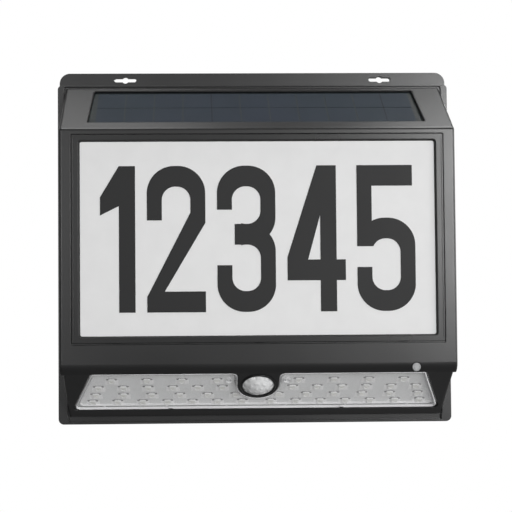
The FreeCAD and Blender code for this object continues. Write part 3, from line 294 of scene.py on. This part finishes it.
addFinish(moulded, "shell_plastic", colour=(0.0072, 0.0073, 0.0076), rough=0.3, edge=0.0009, grain=0.25,
          wear=1.2)
addFinish(moulded, "plate_plastic", colour=(0.0095, 0.0096, 0.01), rough=0.3, gloss=0.55, edge=0.0005,
          grain=0.3)
addFinish(moulded, "bezel_plastic", colour=(0.0078, 0.008, 0.0082), rough=0.29, gloss=0.42, edge=0.0003,
          grain=0.22)
addFinish(moulded, "panel_acrylic", colour=(0.84, 0.84, 0.84), rough=0.45, gloss=0.12, vary=0.015,
          patchScale=60, grain=0.1)
addFinish(moulded, "digit_film", colour=(0.0215, 0.0215, 0.022), rough=0.5, gloss=0.2, vary=0.05, edge=0.0001,
          wear=1.2)
addFinish(moulded, "solar_sheet", colour=(0.03, 0.036, 0.045), rough=0.12, gloss=0.07, alpha=0.07, grain=0.05)
addFinish(siliconCell, "solar_silicon", colour=(0.030, 0.037, 0.052), otherColour=(0.030, 0.041, 0.049),
          rough=0.45, gloss=0.08, grain=0.1)
addFinish(circuitBoard, "board_black", colour=(0.017, 0.022, 0.021), track=(0.024, 0.03, 0.03), rough=0.5,
          gloss=0.3, trackScale=40)
addFinish(moulded, "foam", colour=(0.012, 0.012, 0.012), rough=0.95, gloss=0.1, grain=0.7, grainScale=900,
          grainDepth=0.0002)
addFinish(moulded, "seal_rubber", colour=(0.015, 0.015, 0.015), rough=0.7, gloss=0.3)
# the lens rim carries a painted highlight
addFinish(paintedRimGlow, "lens_acrylic", colour=(0.9, 0.9, 0.905), edgeColour=(0.97, 0.97, 0.98), face="lamp",
          alpha=0.2, edgeAlpha=0.95, rough=0.28, gloss=0.4, grain=0.04, vary=0.02, cloudScale=25)
addFinish(moulded, "guide_acrylic", colour=(0.85, 0.88, 0.88), rough=0.1, alpha=0.35, grain=0.05)
addFinish(moulded, "film_white", colour=(0.85, 0.85, 0.84), rough=0.4, vary=0.02)
addFinish(moulded, "tray_white", colour=(0.75, 0.75, 0.73), rough=0.5, edge=0.0003, wear=1.05)
addFinish(circuitBoard, "board_white", colour=(0.78, 0.785, 0.79), track=(0.76, 0.765, 0.765), rough=0.5,
          gloss=0.3, trackScale=22, relief=0.08)
addFinish(circuitBoard, "board_green", colour=(0.012, 0.09, 0.03), track=(0.03, 0.17, 0.06), rough=0.35,
          trackScale=70)
addFinish(moulded, "led_body", colour=(0.9, 0.9, 0.89), rough=0.4, vary=0.02)
addFinish(domePlastic, "dome_white", colour=(0.78, 0.785, 0.79), lineColour=(0.58, 0.585, 0.59), rough=0.25,
          gloss=0.6, coat=1.0, coatRough=0.05, grain=0.03)
addFinish(moulded, "button_grey", colour=(0.37, 0.375, 0.38), rough=0.35, edge=0.0002, wear=1.1)
addFinish(brushedMetal, "screw_steel", colour=(0.55, 0.55, 0.54), rough=0.32, brush=(9, 9, 1))
addFinish(brushedMetal, "contact_nickel", colour=(0.62, 0.59, 0.54), rough=0.22)
addFinish(brushedMetal, "can_metal", colour=(0.6, 0.58, 0.54), rough=0.3)
addFinish(moulded, "filter_dark", colour=(0.03, 0.02, 0.02), rough=0.1, grain=0.02)
addFinish(moulded, "chip_black", colour=(0.02, 0.02, 0.021), rough=0.55, edge=0.0001)
addFinish(moulded, "connector_white", colour=(0.7, 0.69, 0.62), rough=0.45, edge=0.0001, wear=1.05)
addFinish(moulded, "capacitor_sleeve", colour=(0.02, 0.025, 0.06), rough=0.3)
addFinish(moulded, "inductor_dark", colour=(0.03, 0.03, 0.03), rough=0.6, grain=0.5)
addFinish(moulded, "cell_wrap", colour=(0.02, 0.09, 0.3), rough=0.3, coat=0.3, vary=0.1)
addFinish(moulded, "holder_black", colour=(0.02, 0.02, 0.02), rough=0.5, edge=0.0002)
addFinish(moulded, "wire_insulation", colour=(0.3, 0.02, 0.02), rough=0.5, vary=0.1)
addFinish(moulded, "plunger_dark", colour=(0.03, 0.03, 0.03), rough=0.5)

slotOf = {entry["node"]: entry["material_slot"] for entry in frame["record"]["subparts"]}
for name, piece in nodes.items():
    piece.data.materials.clear()
    piece.data.materials.append(finishes[slotOf[name]])
print("finishes made:", len(finishes))

# more finishes, for what is printed, soldered or filled on those pieces, and for the painted shade and
# painted reflection at the lamp LEDs

addFinish(moulded, "phosphor", colour=(0.86, 0.855, 0.81), rough=0.35, vary=0.03, coat=0.4)
# solder darkened as painted shade, also used for the painted shadow strip above each lamp LED
addFinish(brushedMetal, "solder_and_painted_shade", colour=(0.15, 0.15, 0.15), rough=0.5)
# painted reflection: the pale patch under each lamp LED
addFinish(moulded, "painted_reflection_white", colour=(0.98, 0.98, 0.98), rough=0.3, gloss=0.6, vary=0.005)
addFinish(moulded, "finger_print", colour=(0.042, 0.05, 0.063), rough=0.5, gloss=0.1)
addFinish(moulded, "ribbon_tin", colour=(0.02, 0.024, 0.03), rough=0.5, gloss=0.1)


# finding where the CAD pieces are

def solidsOf(name):
    # corner points of each separate solid in a node, always in the same order
    shape = bmesh.new()
    shape.from_mesh(nodes[name].data)
    bmesh.ops.remove_doubles(shape, verts=shape.verts, dist=sameCorner)
    seen = set()
    found = []
    for start in shape.verts:
        if start in seen:
            continue
        seen.add(start)
        reach = [start]
        group = []
        while reach:
            corner = reach.pop()
            group.append(corner.co.copy())
            for edge in corner.link_edges:
                other = edge.other_vert(corner)
                if other not in seen:
                    seen.add(other)
                    reach.append(other)
        found.append(group)
    shape.free()
    return found


def extentIn(corners, turn):
    # lowest and highest corner of some points, seen in a turned frame
    back = turn.to_3x3().transposed()
    local = [back @ corner for corner in corners]
    low = Vector([min(c[i] for c in local) for i in range(3)])
    high = Vector([max(c[i] for c in local) for i in range(3)])
    return low, high


def seatsOf(name, face, level):
    # middle of each solid across its face, at its lowest (0) to highest (1) level out of the face
    turn = faceTurn(face)
    seats = []
    for corners in solidsOf(name):
        low, high = extentIn(corners, turn)
        middle = (low + high) / 2
        middle.z = low.z + (high.z - low.z) * level
        seats.append(turn.to_3x3() @ middle)
    return sorted(seats, key=lambda seat: (round(seat.z, 5), round(seat.x, 5)))


# one tree that repeats a template on points

def makeRepeatTree():
    tree = bpy.data.node_groups.new("repeatOnPoints", "GeometryNodeTree")
    sockets = (("Geometry", "Geometry"), ("Template", "Object"), ("Tilt", "Vector"), ("Turn Spread", "Float"),
               ("Seed", "Int"), ("Finish", "Material"))
    for label, kind in sockets:
        tree.interface.new_socket(label, in_out="INPUT", socket_type="NodeSocket" + kind)
    tree.interface.new_socket("Geometry", in_out="OUTPUT", socket_type="NodeSocketGeometry")
    given = tree.nodes.new("NodeGroupInput").outputs
    template = addNode(tree, "GeometryNodeObjectInfo", {"Object": given["Template"], "As Instance": True})
    tilt = addNode(tree, "FunctionNodeEulerToRotation", {"Euler": given["Tilt"]})
    placed = addNode(tree, "GeometryNodeInstanceOnPoints", {
        "Points": given["Geometry"], "Instance": template.outputs["Geometry"], "Rotation": tilt.outputs[0]})
    low = addNode(tree, "ShaderNodeMath", {0: given["Turn Spread"], 1: -1.0}, operation="MULTIPLY")
    spin = addNode(tree, "FunctionNodeRandomValue", {2: low.outputs[0], 3: given["Turn Spread"],
                                                     "Seed": given["Seed"]}, data_type="FLOAT")
    about = addNode(tree, "ShaderNodeCombineXYZ", {"Z": spin.outputs[1]})
    about = addNode(tree, "FunctionNodeEulerToRotation", {"Euler": about.outputs[0]})
    turned = addNode(tree, "GeometryNodeRotateInstances", {
        "Instances": placed.outputs[0], "Rotation": about.outputs[0], "Local Space": True})
    real = addNode(tree, "GeometryNodeRealizeInstances", {"Geometry": turned.outputs[0]})
    coated = addNode(tree, "GeometryNodeSetMaterial", {"Geometry": real.outputs[0],
                                                       "Material": given["Finish"]})
    result = tree.nodes.new("NodeGroupOutput")
    tree.links.new(coated.outputs[0], result.inputs[0])
    return tree


repeatTree = makeRepeatTree()


def finishedMesh(piece):
    # plain mesh of an object with its modifiers
    return bpy.data.meshes.new_from_object(piece.evaluated_get(bpy.context.evaluated_depsgraph_get()))


def objectFrom(name, shape):
    mesh = bpy.data.meshes.new(name)
    bmesh.ops.recalc_face_normals(shape, faces=shape.faces)
    shape.to_mesh(mesh)
    shape.free()
    return linked(name, mesh)


def cutAway(body, tool, crossing=False):
    # mesh of a body less a tool, whose own parts may cross; both objects are used up
    cut = body.modifiers.new("cut", "BOOLEAN")
    cut.object = tool
    cut.operation = "DIFFERENCE"
    cut.solver = "EXACT"
    cut.use_self = crossing
    mesh = finishedMesh(body)
    bpy.data.objects.remove(body)
    bpy.data.objects.remove(tool)
    return mesh


def fixTo(piece, slotName, replaced=(), finish=None):
    # every made piece rides on the sign; it has a finish of its own or its slot's
    piece.data.materials.clear()
    piece.data.materials.append(finishes[finish or slotName])
    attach(piece, "sign")
    if replaced:
        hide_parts(*replaced)


def repeatPiece(name, template, seats, face, slotName, replaced=(), finish=None, turnSpread=0.0, seed=1):
    mesh = bpy.data.meshes.new(name + "Seats")
    mesh.from_pydata([tuple(seat) for seat in seats], [], [])
    carrier = linked(name + "Seats", mesh)
    modifier = carrier.modifiers.new("repeat", "NODES")
    modifier.node_group = repeatTree
    given = {"Template": template, "Tilt": (math.radians(turnOf[face]), 0.0, 0.0), "Turn Spread": turnSpread,
             "Seed": seed, "Finish": finishes[finish or slotName]}
    for item in repeatTree.interface.items_tree:
        if item.in_out == "INPUT" and item.name in given:
            modifier[item.identifier] = given[item.name]
    piece = linked(name, finishedMesh(carrier))
    bpy.data.objects.remove(carrier)
    bpy.data.objects.remove(template)
    fixTo(piece, slotName, replaced, finish)


# templates, each made at the origin with +Z out of the face it sits on

def addBlock(shape, width, depth, height, place=(0, 0, 0), bevel=0.0):
    made = bmesh.ops.create_cube(shape, size=1.0, matrix=Matrix.Translation(Vector(place) * mm)
                                 @ Matrix.Diagonal((width * mm, depth * mm, height * mm, 1)))
    if bevel:
        edges = dict.fromkeys(edge for corner in made["verts"] for edge in corner.link_edges)
        bmesh.ops.bevel(shape, geom=list(edges), offset=bevel * mm, segments=2, affect="EDGES", profile=0.5)


def around(radius, step, steps, height):
    # place in metres of one step on a ring
    angle = 2 * math.pi * step / steps
    return radius * mm * math.cos(angle), radius * mm * math.sin(angle), height * mm


def lathe(shape, outline, steps):
    # closed turned body from (radius, height) points, both ends on the axis
    rings = []
    for radius, height in outline:
        count = steps if radius else 1
        rings.append([shape.verts.new(around(radius, i, steps, height)) for i in range(count)])
    for first, second in zip(rings, rings[1:]):
        for i in range(steps):
            j = (i + 1) % steps
            corners = [first[i % len(first)], first[j % len(first)], second[j % len(second)],
                       second[i % len(second)]]
            shape.faces.new(list(dict.fromkeys(corners)))


def shadeSmooth(piece, angle):
    piece.data.shade_smooth()
    piece.data.set_sharp_from_angle(angle=math.radians(angle))


# screws

largeScrew = dict(shaft=1.45, head=2.9, headHeight=2.0, pitch=1.1)
smallScrew = dict(shaft=0.95, head=1.9, headHeight=1.4, pitch=0.8)
screwSets = {
    "housing_screws": dict(face="back", sizes=largeScrew),
    "light_tray_screws": dict(face="back", sizes=smallScrew),
    "lamp_board_screws": dict(face="lampInside", sizes=smallScrew),
    "control_board_screws": dict(face="front", sizes=smallScrew),
    "battery_holder_screws": dict(face="front", sizes=smallScrew),
    "switch_board_screws": dict(face="back", sizes=smallScrew),
}
panHead = dict(angles=(0, 25, 45, 62, 76, 90), crown=0.45, crossDepth=0.65, crossLength=1.15, crossWidth=0.26,
               collar=0.8)                       # degrees, then shares of the head's and the shaft's sizes
thread = dict(root=0.74, tip=0.12, taper=1.6, sunk=0.1)      # shares of the shaft, and millimetres
screwSteps = 20
screwSeed = 11                                   # of the first set; each set after it has the next


def screwHead(sizes):
    # pan head with a cross recess, its top at the origin
    head, headHeight = sizes["head"], sizes["headHeight"]
    shape = bmesh.new()
    crown = [(head * math.sin(a), -headHeight * panHead["crown"] * (1 - math.cos(a)))
             for a in (math.radians(t) for t in panHead["angles"])]
    collar = sizes["shaft"] * panHead["collar"]
    lathe(shape, crown + [(head, -headHeight), (collar, -headHeight), (0, -headHeight)], screwSteps)
    body = objectFrom("screwHead", shape)
    shape = bmesh.new()
    wide, thin = head * panHead["crossLength"], head * panHead["crossWidth"]
    for width, depth in ((wide, thin), (thin, wide)):
        addBlock(shape, width, depth, 2 * headHeight * panHead["crossDepth"])
    return cutAway(body, objectFrom("screwCross", shape), crossing=True)


def addThread(shape, sizes, length):
    # helical thread that tapers to the tip
    shaft, halfPitch = sizes["shaft"], sizes["pitch"] / 2
    start = thread["sunk"] - sizes["headHeight"]
    tip = -length
    grid = []
    for row in range(int((start - tip) / halfPitch) + 1):
        ring = []
        for i in range(screwSteps + 1):
            height = start - (row + 2 * i / screwSteps) * halfPitch
            taper = min(1, max(thread["tip"], (height - tip) / (shaft * thread["taper"])))
            radius = (shaft if row % 2 else shaft * thread["root"]) * taper
            ring.append(shape.verts.new(around(radius, i, screwSteps, max(height, tip))))
        grid.append(ring)
    for upper, lower in zip(grid, grid[1:]):
        for i in range(screwSteps):
            shape.faces.new((upper[i], upper[i + 1], lower[i + 1], lower[i]))


def screwTemplate(sizes, length):
    shape = bmesh.new()
    shape.from_mesh(screwHead(sizes))
    addThread(shape, sizes, length)
    bmesh.ops.remove_doubles(shape, verts=shape.verts, dist=sameCorner)
    holes = [edge for edge in shape.edges if len(edge.link_faces) == 1]
    bmesh.ops.holes_fill(shape, edges=holes, sides=0)
    bmesh.ops.triangulate(shape, faces=[face for face in shape.faces if len(face.verts) > 4])
    made = objectFrom("screwTemplate", shape)
    shadeSmooth(made, angle=40)
    return made


for order, (name, group) in enumerate(screwSets.items()):
    face = group["face"]
    low, high = extentIn(solidsOf(name)[0], faceTurn(face))
    template = screwTemplate(group["sizes"], (high.z - low.z) / mm)
    repeatPiece(name + "_turned", template, seatsOf(name, face, 1), face, "screw_steel", [name],
                turnSpread=math.pi, seed=screwSeed + order)
print("screws made")

# lamp LEDs: body with a cup, phosphor, solder joints with a painted shadow strip above, and a pale patch
# below that is a painted reflection

lampLed = dict(size=5.0, height=1.6, bevel=0.25, cup=1.75, cupDepth=0.5, cupFlare=0.3, cupOver=0.2,
               cupSteps=24)
phosphorCrown = dict(gap=0.02, foot=0.01, edge=0.12, rise=0.2, angles=(0, 30, 60, 90), steps=20)
lampTerminalsAndShadow = dict(apart=5.8, width=2.6, depth=1.5, height=0.5, above=1.8, bevel=0.2, track=0.5, past=0.1)
lampReflectionPatch = dict(width=10.5, depth=5.6, below=2.1, thick=0.06, bevel=0.02)


def ledTemplate(sizes):
    # square white body with a round cup; the origin is on the board
    shape = bmesh.new()
    top = sizes["height"]
    addBlock(shape, sizes["size"], sizes["size"], top, (0, 0, top / 2), sizes["bevel"])
    body = objectFrom("ledBody", shape)
    shape = bmesh.new()
    floor = top - sizes["cupDepth"]
    mouth = sizes["cup"] + sizes["cupFlare"]
    over = top + sizes["cupOver"]
    outline = [(0, over), (mouth, over), (mouth, top), (sizes["cup"], floor), (0, floor)]
    lathe(shape, outline, sizes["cupSteps"])
    made = linked("ledTemplate", cutAway(body, objectFrom("ledCup", shape)))
    shadeSmooth(made, angle=30)
    return made


def phosphorTemplate(sizes, crown):
    # low crown of phosphor lying in the cup
    shape = bmesh.new()
    floor = sizes["height"] - sizes["cupDepth"]
    foot = floor + crown["foot"]
    radius = sizes["cup"] - crown["gap"]
    outline = [(radius * math.sin(a), floor + crown["edge"] + crown["rise"] * math.cos(a))
               for a in (math.radians(t) for t in crown["angles"])]
    lathe(shape, outline + [(radius, foot), (0, foot)], crown["steps"])
    made = objectFrom("phosphorTemplate", shape)
    shadeSmooth(made, angle=50)
    return made


def terminalTemplate(sizes):
    # the two solder joints, one each side of the body, coloured dark as painted shade, and a dark strip past
    # the body's upper edge that is a painted shadow
    shape = bmesh.new()
    height = sizes["height"]
    for side in (-1, 1):
        place = (side * sizes["apart"] / 2, sizes["above"], height / 2)
        addBlock(shape, sizes["width"], sizes["depth"], height, place, sizes["bevel"])
    # painted shadow: a dark strip along the body's upper edge
    place = (0, lampLed["size"] / 2 + sizes["past"], height / 4)
    addBlock(shape, sizes["apart"], sizes["track"], height / 2, place)
    made = objectFrom("terminalTemplate", shape)
    shadeSmooth(made, angle=50)
    return made


def padTemplate(sizes):
    # painted reflection: a thin pale patch on the board, down the slope from the body, standing in for the
    # body's reflection
    shape = bmesh.new()
    place = (0, -sizes["below"], sizes["thick"] / 2)
    addBlock(shape, sizes["width"], sizes["depth"], sizes["thick"], place, sizes["bevel"])
    return objectFrom("padTemplate", shape)


lampSeats = seatsOf("lamp_leds", "lamp", 0)
repeatPiece("lamp_led_bodies", ledTemplate(lampLed), lampSeats, "lamp", "led_body", ["lamp_leds"])
for name, template, finish in (
        ("lamp_led_phosphors", phosphorTemplate(lampLed, phosphorCrown), "phosphor"),
        ("lamp_led_terminals", terminalTemplate(lampTerminalsAndShadow), "solder_and_painted_shade"),
        ("lamp_led_pads", padTemplate(lampReflectionPatch), "painted_reflection_white")):
    repeatPiece(name, template, lampSeats, "lamp", "led_body", finish=finish)
print("lamps made:", len(lampSeats))

# backlight LEDs on their strip

stripLed = dict(size=2.0, width=3.0, bevel=0.15, windowWidth=0.7, windowHeight=0.6, windowDepth=0.3)


def stripLedTemplate(sizes, height):
    shape = bmesh.new()
    size, depth = sizes["size"], sizes["windowDepth"]
    addBlock(shape, sizes["width"], height, size, (0, 0, size / 2), sizes["bevel"])
    addBlock(shape, sizes["width"] * sizes["windowWidth"], depth, size * sizes["windowHeight"],
             (0, height / 2 - depth / 2, size / 2))
    made = objectFrom("stripLedTemplate", shape)
    shadeSmooth(made, angle=50)
    return made


stripLow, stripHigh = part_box("backlight_leds")
stripSeats = seatsOf("backlight_leds", "front", 0)
repeatPiece("backlight_led_bodies", stripLedTemplate(stripLed, (stripHigh.z - stripLow.z) / mm), stripSeats,
            "front", "led_body", ["backlight_leds"])
print("backlight made:", len(stripSeats))

# solar cell fingers, and the ribbons that join two columns of cells

cellPrint = dict(fingers=13, width=0.16, thick=0.02, edge=0.5)
cellRibbon = dict(width=1.1, thick=0.02, bevel=0.005, longer=0.8, after=(3, 9))      # columns, the first is 0


def fingerTemplate(sizes, width, height):
    shape = bmesh.new()
    pitch = (width - 2 * sizes["edge"]) / (sizes["fingers"] - 1)
    for i in range(sizes["fingers"]):
        x = -width / 2 + sizes["edge"] + i * pitch
        addBlock(shape, sizes["width"], height - sizes["edge"], sizes["thick"], (x, 0, sizes["thick"] / 2))
    return objectFrom("fingerTemplate", shape)


def ribbonTemplate(sizes, height):
    shape = bmesh.new()
    place = (0, 0, sizes["thick"] / 2)
    addBlock(shape, sizes["width"], height + sizes["longer"], sizes["thick"], place, sizes["bevel"])
    return objectFrom("ribbonTemplate", shape)


cellSeats = seatsOf("solar_cells", "solar", 1)
cellLow, cellHigh = extentIn(solidsOf("solar_cells")[0], faceTurn("solar"))
cellWidth = (cellHigh.x - cellLow.x) / mm
cellHeight = (cellHigh.y - cellLow.y) / mm
repeatPiece("solar_cell_fingers", fingerTemplate(cellPrint, cellWidth, cellHeight), cellSeats, "solar",
            "solar_silicon", finish="finger_print")
columns = sorted({round(seat.x, 5) for seat in cellSeats})
ribbonPlaces = [(columns[i] + columns[i + 1]) / 2 for i in cellRibbon["after"]]
firstColumn = [seat for seat in cellSeats if round(seat.x, 5) == columns[0]]
ribbonSeats = [Vector((x, seat.y, seat.z)) for x in ribbonPlaces for seat in firstColumn]
repeatPiece("solar_ribbons", ribbonTemplate(cellRibbon, cellHeight), ribbonSeats, "solar", "solar_silicon",
            finish="ribbon_tin")
print("solar print made")

# motion sensor dome, with the shallow lines between its lens facets, and painted shade along them

sensorDome = dict(radius=12.0, height=6.0, wall=0.8, flange=13.3, flangeThick=1.2, rows=44, innerRows=12,
                  steps=144)
lensFacets = dict(tiers=(0.36, 0.70), sectors=(4, 7, 10), lineWidth=2.0, lineDepth=0.9, grooveShadeSharp=8)


def facetGrooveAndShade(facets, radius, reach, angle):
    # strength of the line nearest a place on the dome, reach 0 at the top to 1 at the foot
    tier = sum(reach > limit for limit in facets["tiers"])
    gaps = [abs(reach - limit) * radius for limit in facets["tiers"]]
    count = facets["sectors"][tier]
    part = (angle / (2 * math.pi) * count + 0.5 * tier) % 1
    gaps.append(min(part, 1 - part) / count * 2 * math.pi * reach * radius)
    near = min(gaps) / facets["lineWidth"]
    return math.exp(-near * near)


def domeSphere(sizes):
    # radius of the sphere that the dome is cut from, and how deep its middle lies under the face
    sphere = (sizes["radius"] ** 2 + sizes["height"] ** 2) / (2 * sizes["height"])
    return sphere, sphere - sizes["height"]


def domeOutline(sizes, flangeLow):
    # radius, height, and how far down the dome for its facets, from the top round to the inside
    sphere, sink = domeSphere(sizes)
    widest = math.asin(sizes["radius"] / sphere)
    inner = sphere - sizes["wall"]
    bore = math.sqrt(inner * inner - sink * sink)
    flangeTop = flangeLow + sizes["flangeThick"]
    outline = []
    for i in range(1, sizes["rows"] + 1):
        angle = widest * i / sizes["rows"]
        outline.append((sphere * math.sin(angle), sphere * math.cos(angle) - sink, i / sizes["rows"]))
    outline += [(sizes["radius"], flangeTop, None), (sizes["flange"], flangeTop, None),
                (sizes["flange"], flangeLow, None), (bore, flangeLow, None), (bore, 0, None)]
    widest = math.asin(bore / inner)
    for i in range(sizes["innerRows"] - 1, 0, -1):
        angle = widest * i / sizes["innerRows"]
        outline.append((inner * math.sin(angle), inner * math.cos(angle) - sink, None))
    return outline


def addDomeRings(shape, sizes, facets, outline):
    # painted shade of the facet lines, kept on each corner for the dome's finish
    strength = shape.verts.layers.float.new("facetGrooveAndShade")
    middle = Vector((0, 0, -domeSphere(sizes)[1]))
    rings = []
    for radius, height, reach in outline:
        ring = []
        for j in range(sizes["steps"]):
            angle = 2 * math.pi * j / sizes["steps"]
            place = Vector((radius * math.cos(angle), radius * math.sin(angle), height))
            line = facetGrooveAndShade(facets, sizes["radius"], reach, angle) if reach and reach < 1 else 0
            inward = (middle - place).normalized()
            ring.append(shape.verts.new((place + inward * line * facets["lineDepth"]) * mm))
            ring[-1][strength] = line ** facets["grooveShadeSharp"]
        rings.append(ring)
    return rings


def makeDome(sizes, facets):
    turn = faceTurn("lamp")
    low, high = extentIn(solidsOf("pir_dome")[0], turn)
    face = high.z / mm - sizes["height"]
    shape = bmesh.new()
    rings = addDomeRings(shape, sizes, facets, domeOutline(sizes, low.z / mm - face))
    top = shape.verts.new((0, 0, sizes["height"] * mm))
    under = shape.verts.new((0, 0, (sizes["height"] - sizes["wall"]) * mm))
    for first, second in zip(rings, rings[1:]):
        for j in range(sizes["steps"]):
            k = (j + 1) % sizes["steps"]
            shape.faces.new((first[j], first[k], second[k], second[j]))
    for j in range(sizes["steps"]):
        k = (j + 1) % sizes["steps"]
        shape.faces.new((top, rings[0][k], rings[0][j]))
        shape.faces.new((under, rings[-1][j], rings[-1][k]))
    centre = (low + high) / 2
    place = Vector((centre.x, centre.y, face * mm))
    bmesh.ops.transform(shape, matrix=turn @ Matrix.Translation(place), verts=shape.verts)
    made = objectFrom("pir_dome_faceted", shape)
    shadeSmooth(made, angle=45)
    fixTo(made, "dome_white", ["pir_dome"])


makeDome(sensorDome, lensFacets)
print("dome made")

# studio: lamps, world and floor, in metres and watts

lamps = {
    "keyBox": dict(place=(1.27, -2.9, 0.42), size=(0.6, 0.9), power=46),
    "frontBox": dict(place=(-0.2, -3.0, 0.4), size=(1.8, 1.2), power=3.6),
    "leftBox": dict(place=(-1.15, -2.85, 0.3), size=(0.35, 0.9), power=12),
    "topLeftBox": dict(place=(-0.3, -0.02, 1.5), size=(0.5, 0.6), power=5.4, aim=(-0.3, 0, 0.1)),
    "topRightBox": dict(place=(0.7, -0.02, 1.5), size=(0.6, 0.6), power=13, aim=(0.7, 0, 0.1)),
    "sideBox": dict(place=(2.3, -1.4, 0.35), size=(1.3, 0.9), power=19),
    "edgeBox": dict(place=(2.2, 0.4, 0.1), size=(1.6, 1.2), power=14),
    "rearBox": dict(place=(0.8, 2.4, 1.0), size=(1.2, 1.0), power=22),
}


def addLamp(name, place, size, power, aim=(0, 0, 0)):
    data = bpy.data.lights.new(name, "AREA")
    data.shape = "RECTANGLE"
    data.size, data.size_y = size
    data.energy = power
    made = linked(name, data)
    made.location = place
    made.rotation_euler = (Vector(aim) - Vector(place)).to_track_quat("-Z", "Y").to_euler()


for name, lamp in lamps.items():
    addLamp(name, **lamp)

# how strong the white surround is: as light, seen by the camera or through glass, and in reflections
studio = dict(ambient=0.06, shown=1.0, mirrored=0.35)
studioFloor = dict(height=-0.9, radius=3.0, steps=96, colour=(0.3, 0.3, 0.3), vary=0.01, patchScale=12,
                   pale=0.93, paleShare=0.8)


def addWorld(settings):
    world = bpy.data.worlds.new("studio")
    bpy.context.scene.world = world
    world.use_nodes = True
    tree = world.node_tree
    tree.nodes.clear()
    path = addNode(tree, "ShaderNodeLightPath").outputs
    seen = addNode(tree, "ShaderNodeMath", {0: path["Is Camera Ray"], 1: path["Is Transmission Ray"]},
                   operation="MAXIMUM")
    strength = spread(tree, seen.outputs[0], settings["ambient"], settings["shown"], 0, 1)
    mirrored = addNode(tree, "ShaderNodeMath", {0: path["Is Glossy Ray"], 1: settings["mirrored"]},
                       operation="MULTIPLY")
    strength = addNode(tree, "ShaderNodeMath", {0: strength, 1: mirrored.outputs[0]}, operation="MAXIMUM")
    back = addNode(tree, "ShaderNodeBackground", {"Color": (1, 1, 1, 1), "Strength": strength.outputs[0]})
    addNode(tree, "ShaderNodeOutputWorld", {"Surface": back.outputs[0]})


def floorPaint(settings):
    # matt paint, seen pale by the camera alone
    made, tree = startMaterial("floor_paint")
    colour = tint(tree, noise(tree, settings["patchScale"]), settings["colour"], settings["vary"])
    matt = addNode(tree, "ShaderNodeBsdfDiffuse", {"Color": colour})
    pale = addNode(tree, "ShaderNodeEmission", {"Color": (1, 1, 1, 1), "Strength": settings["pale"]})
    seen = addNode(tree, "ShaderNodeLightPath").outputs["Is Camera Ray"]
    share = spread(tree, seen, 0, settings["paleShare"], 0, 1)
    both = addNode(tree, "ShaderNodeMixShader", {0: share, 1: matt.outputs[0], 2: pale.outputs[0]})
    endMaterial(tree, both)
    return made


def addFloor(settings):
    shape = bmesh.new()
    bmesh.ops.create_circle(shape, cap_ends=True, radius=settings["radius"], segments=settings["steps"],
                            matrix=Matrix.Translation((0, 0, settings["height"])))
    floor = objectFrom("floor", shape)
    floor.data.materials.append(floorPaint(settings))
    floor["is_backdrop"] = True


addWorld(studio)
addFloor(studioFloor)
bpy.context.scene.view_settings.view_transform = "Standard"
print("studio made")

low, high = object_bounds()
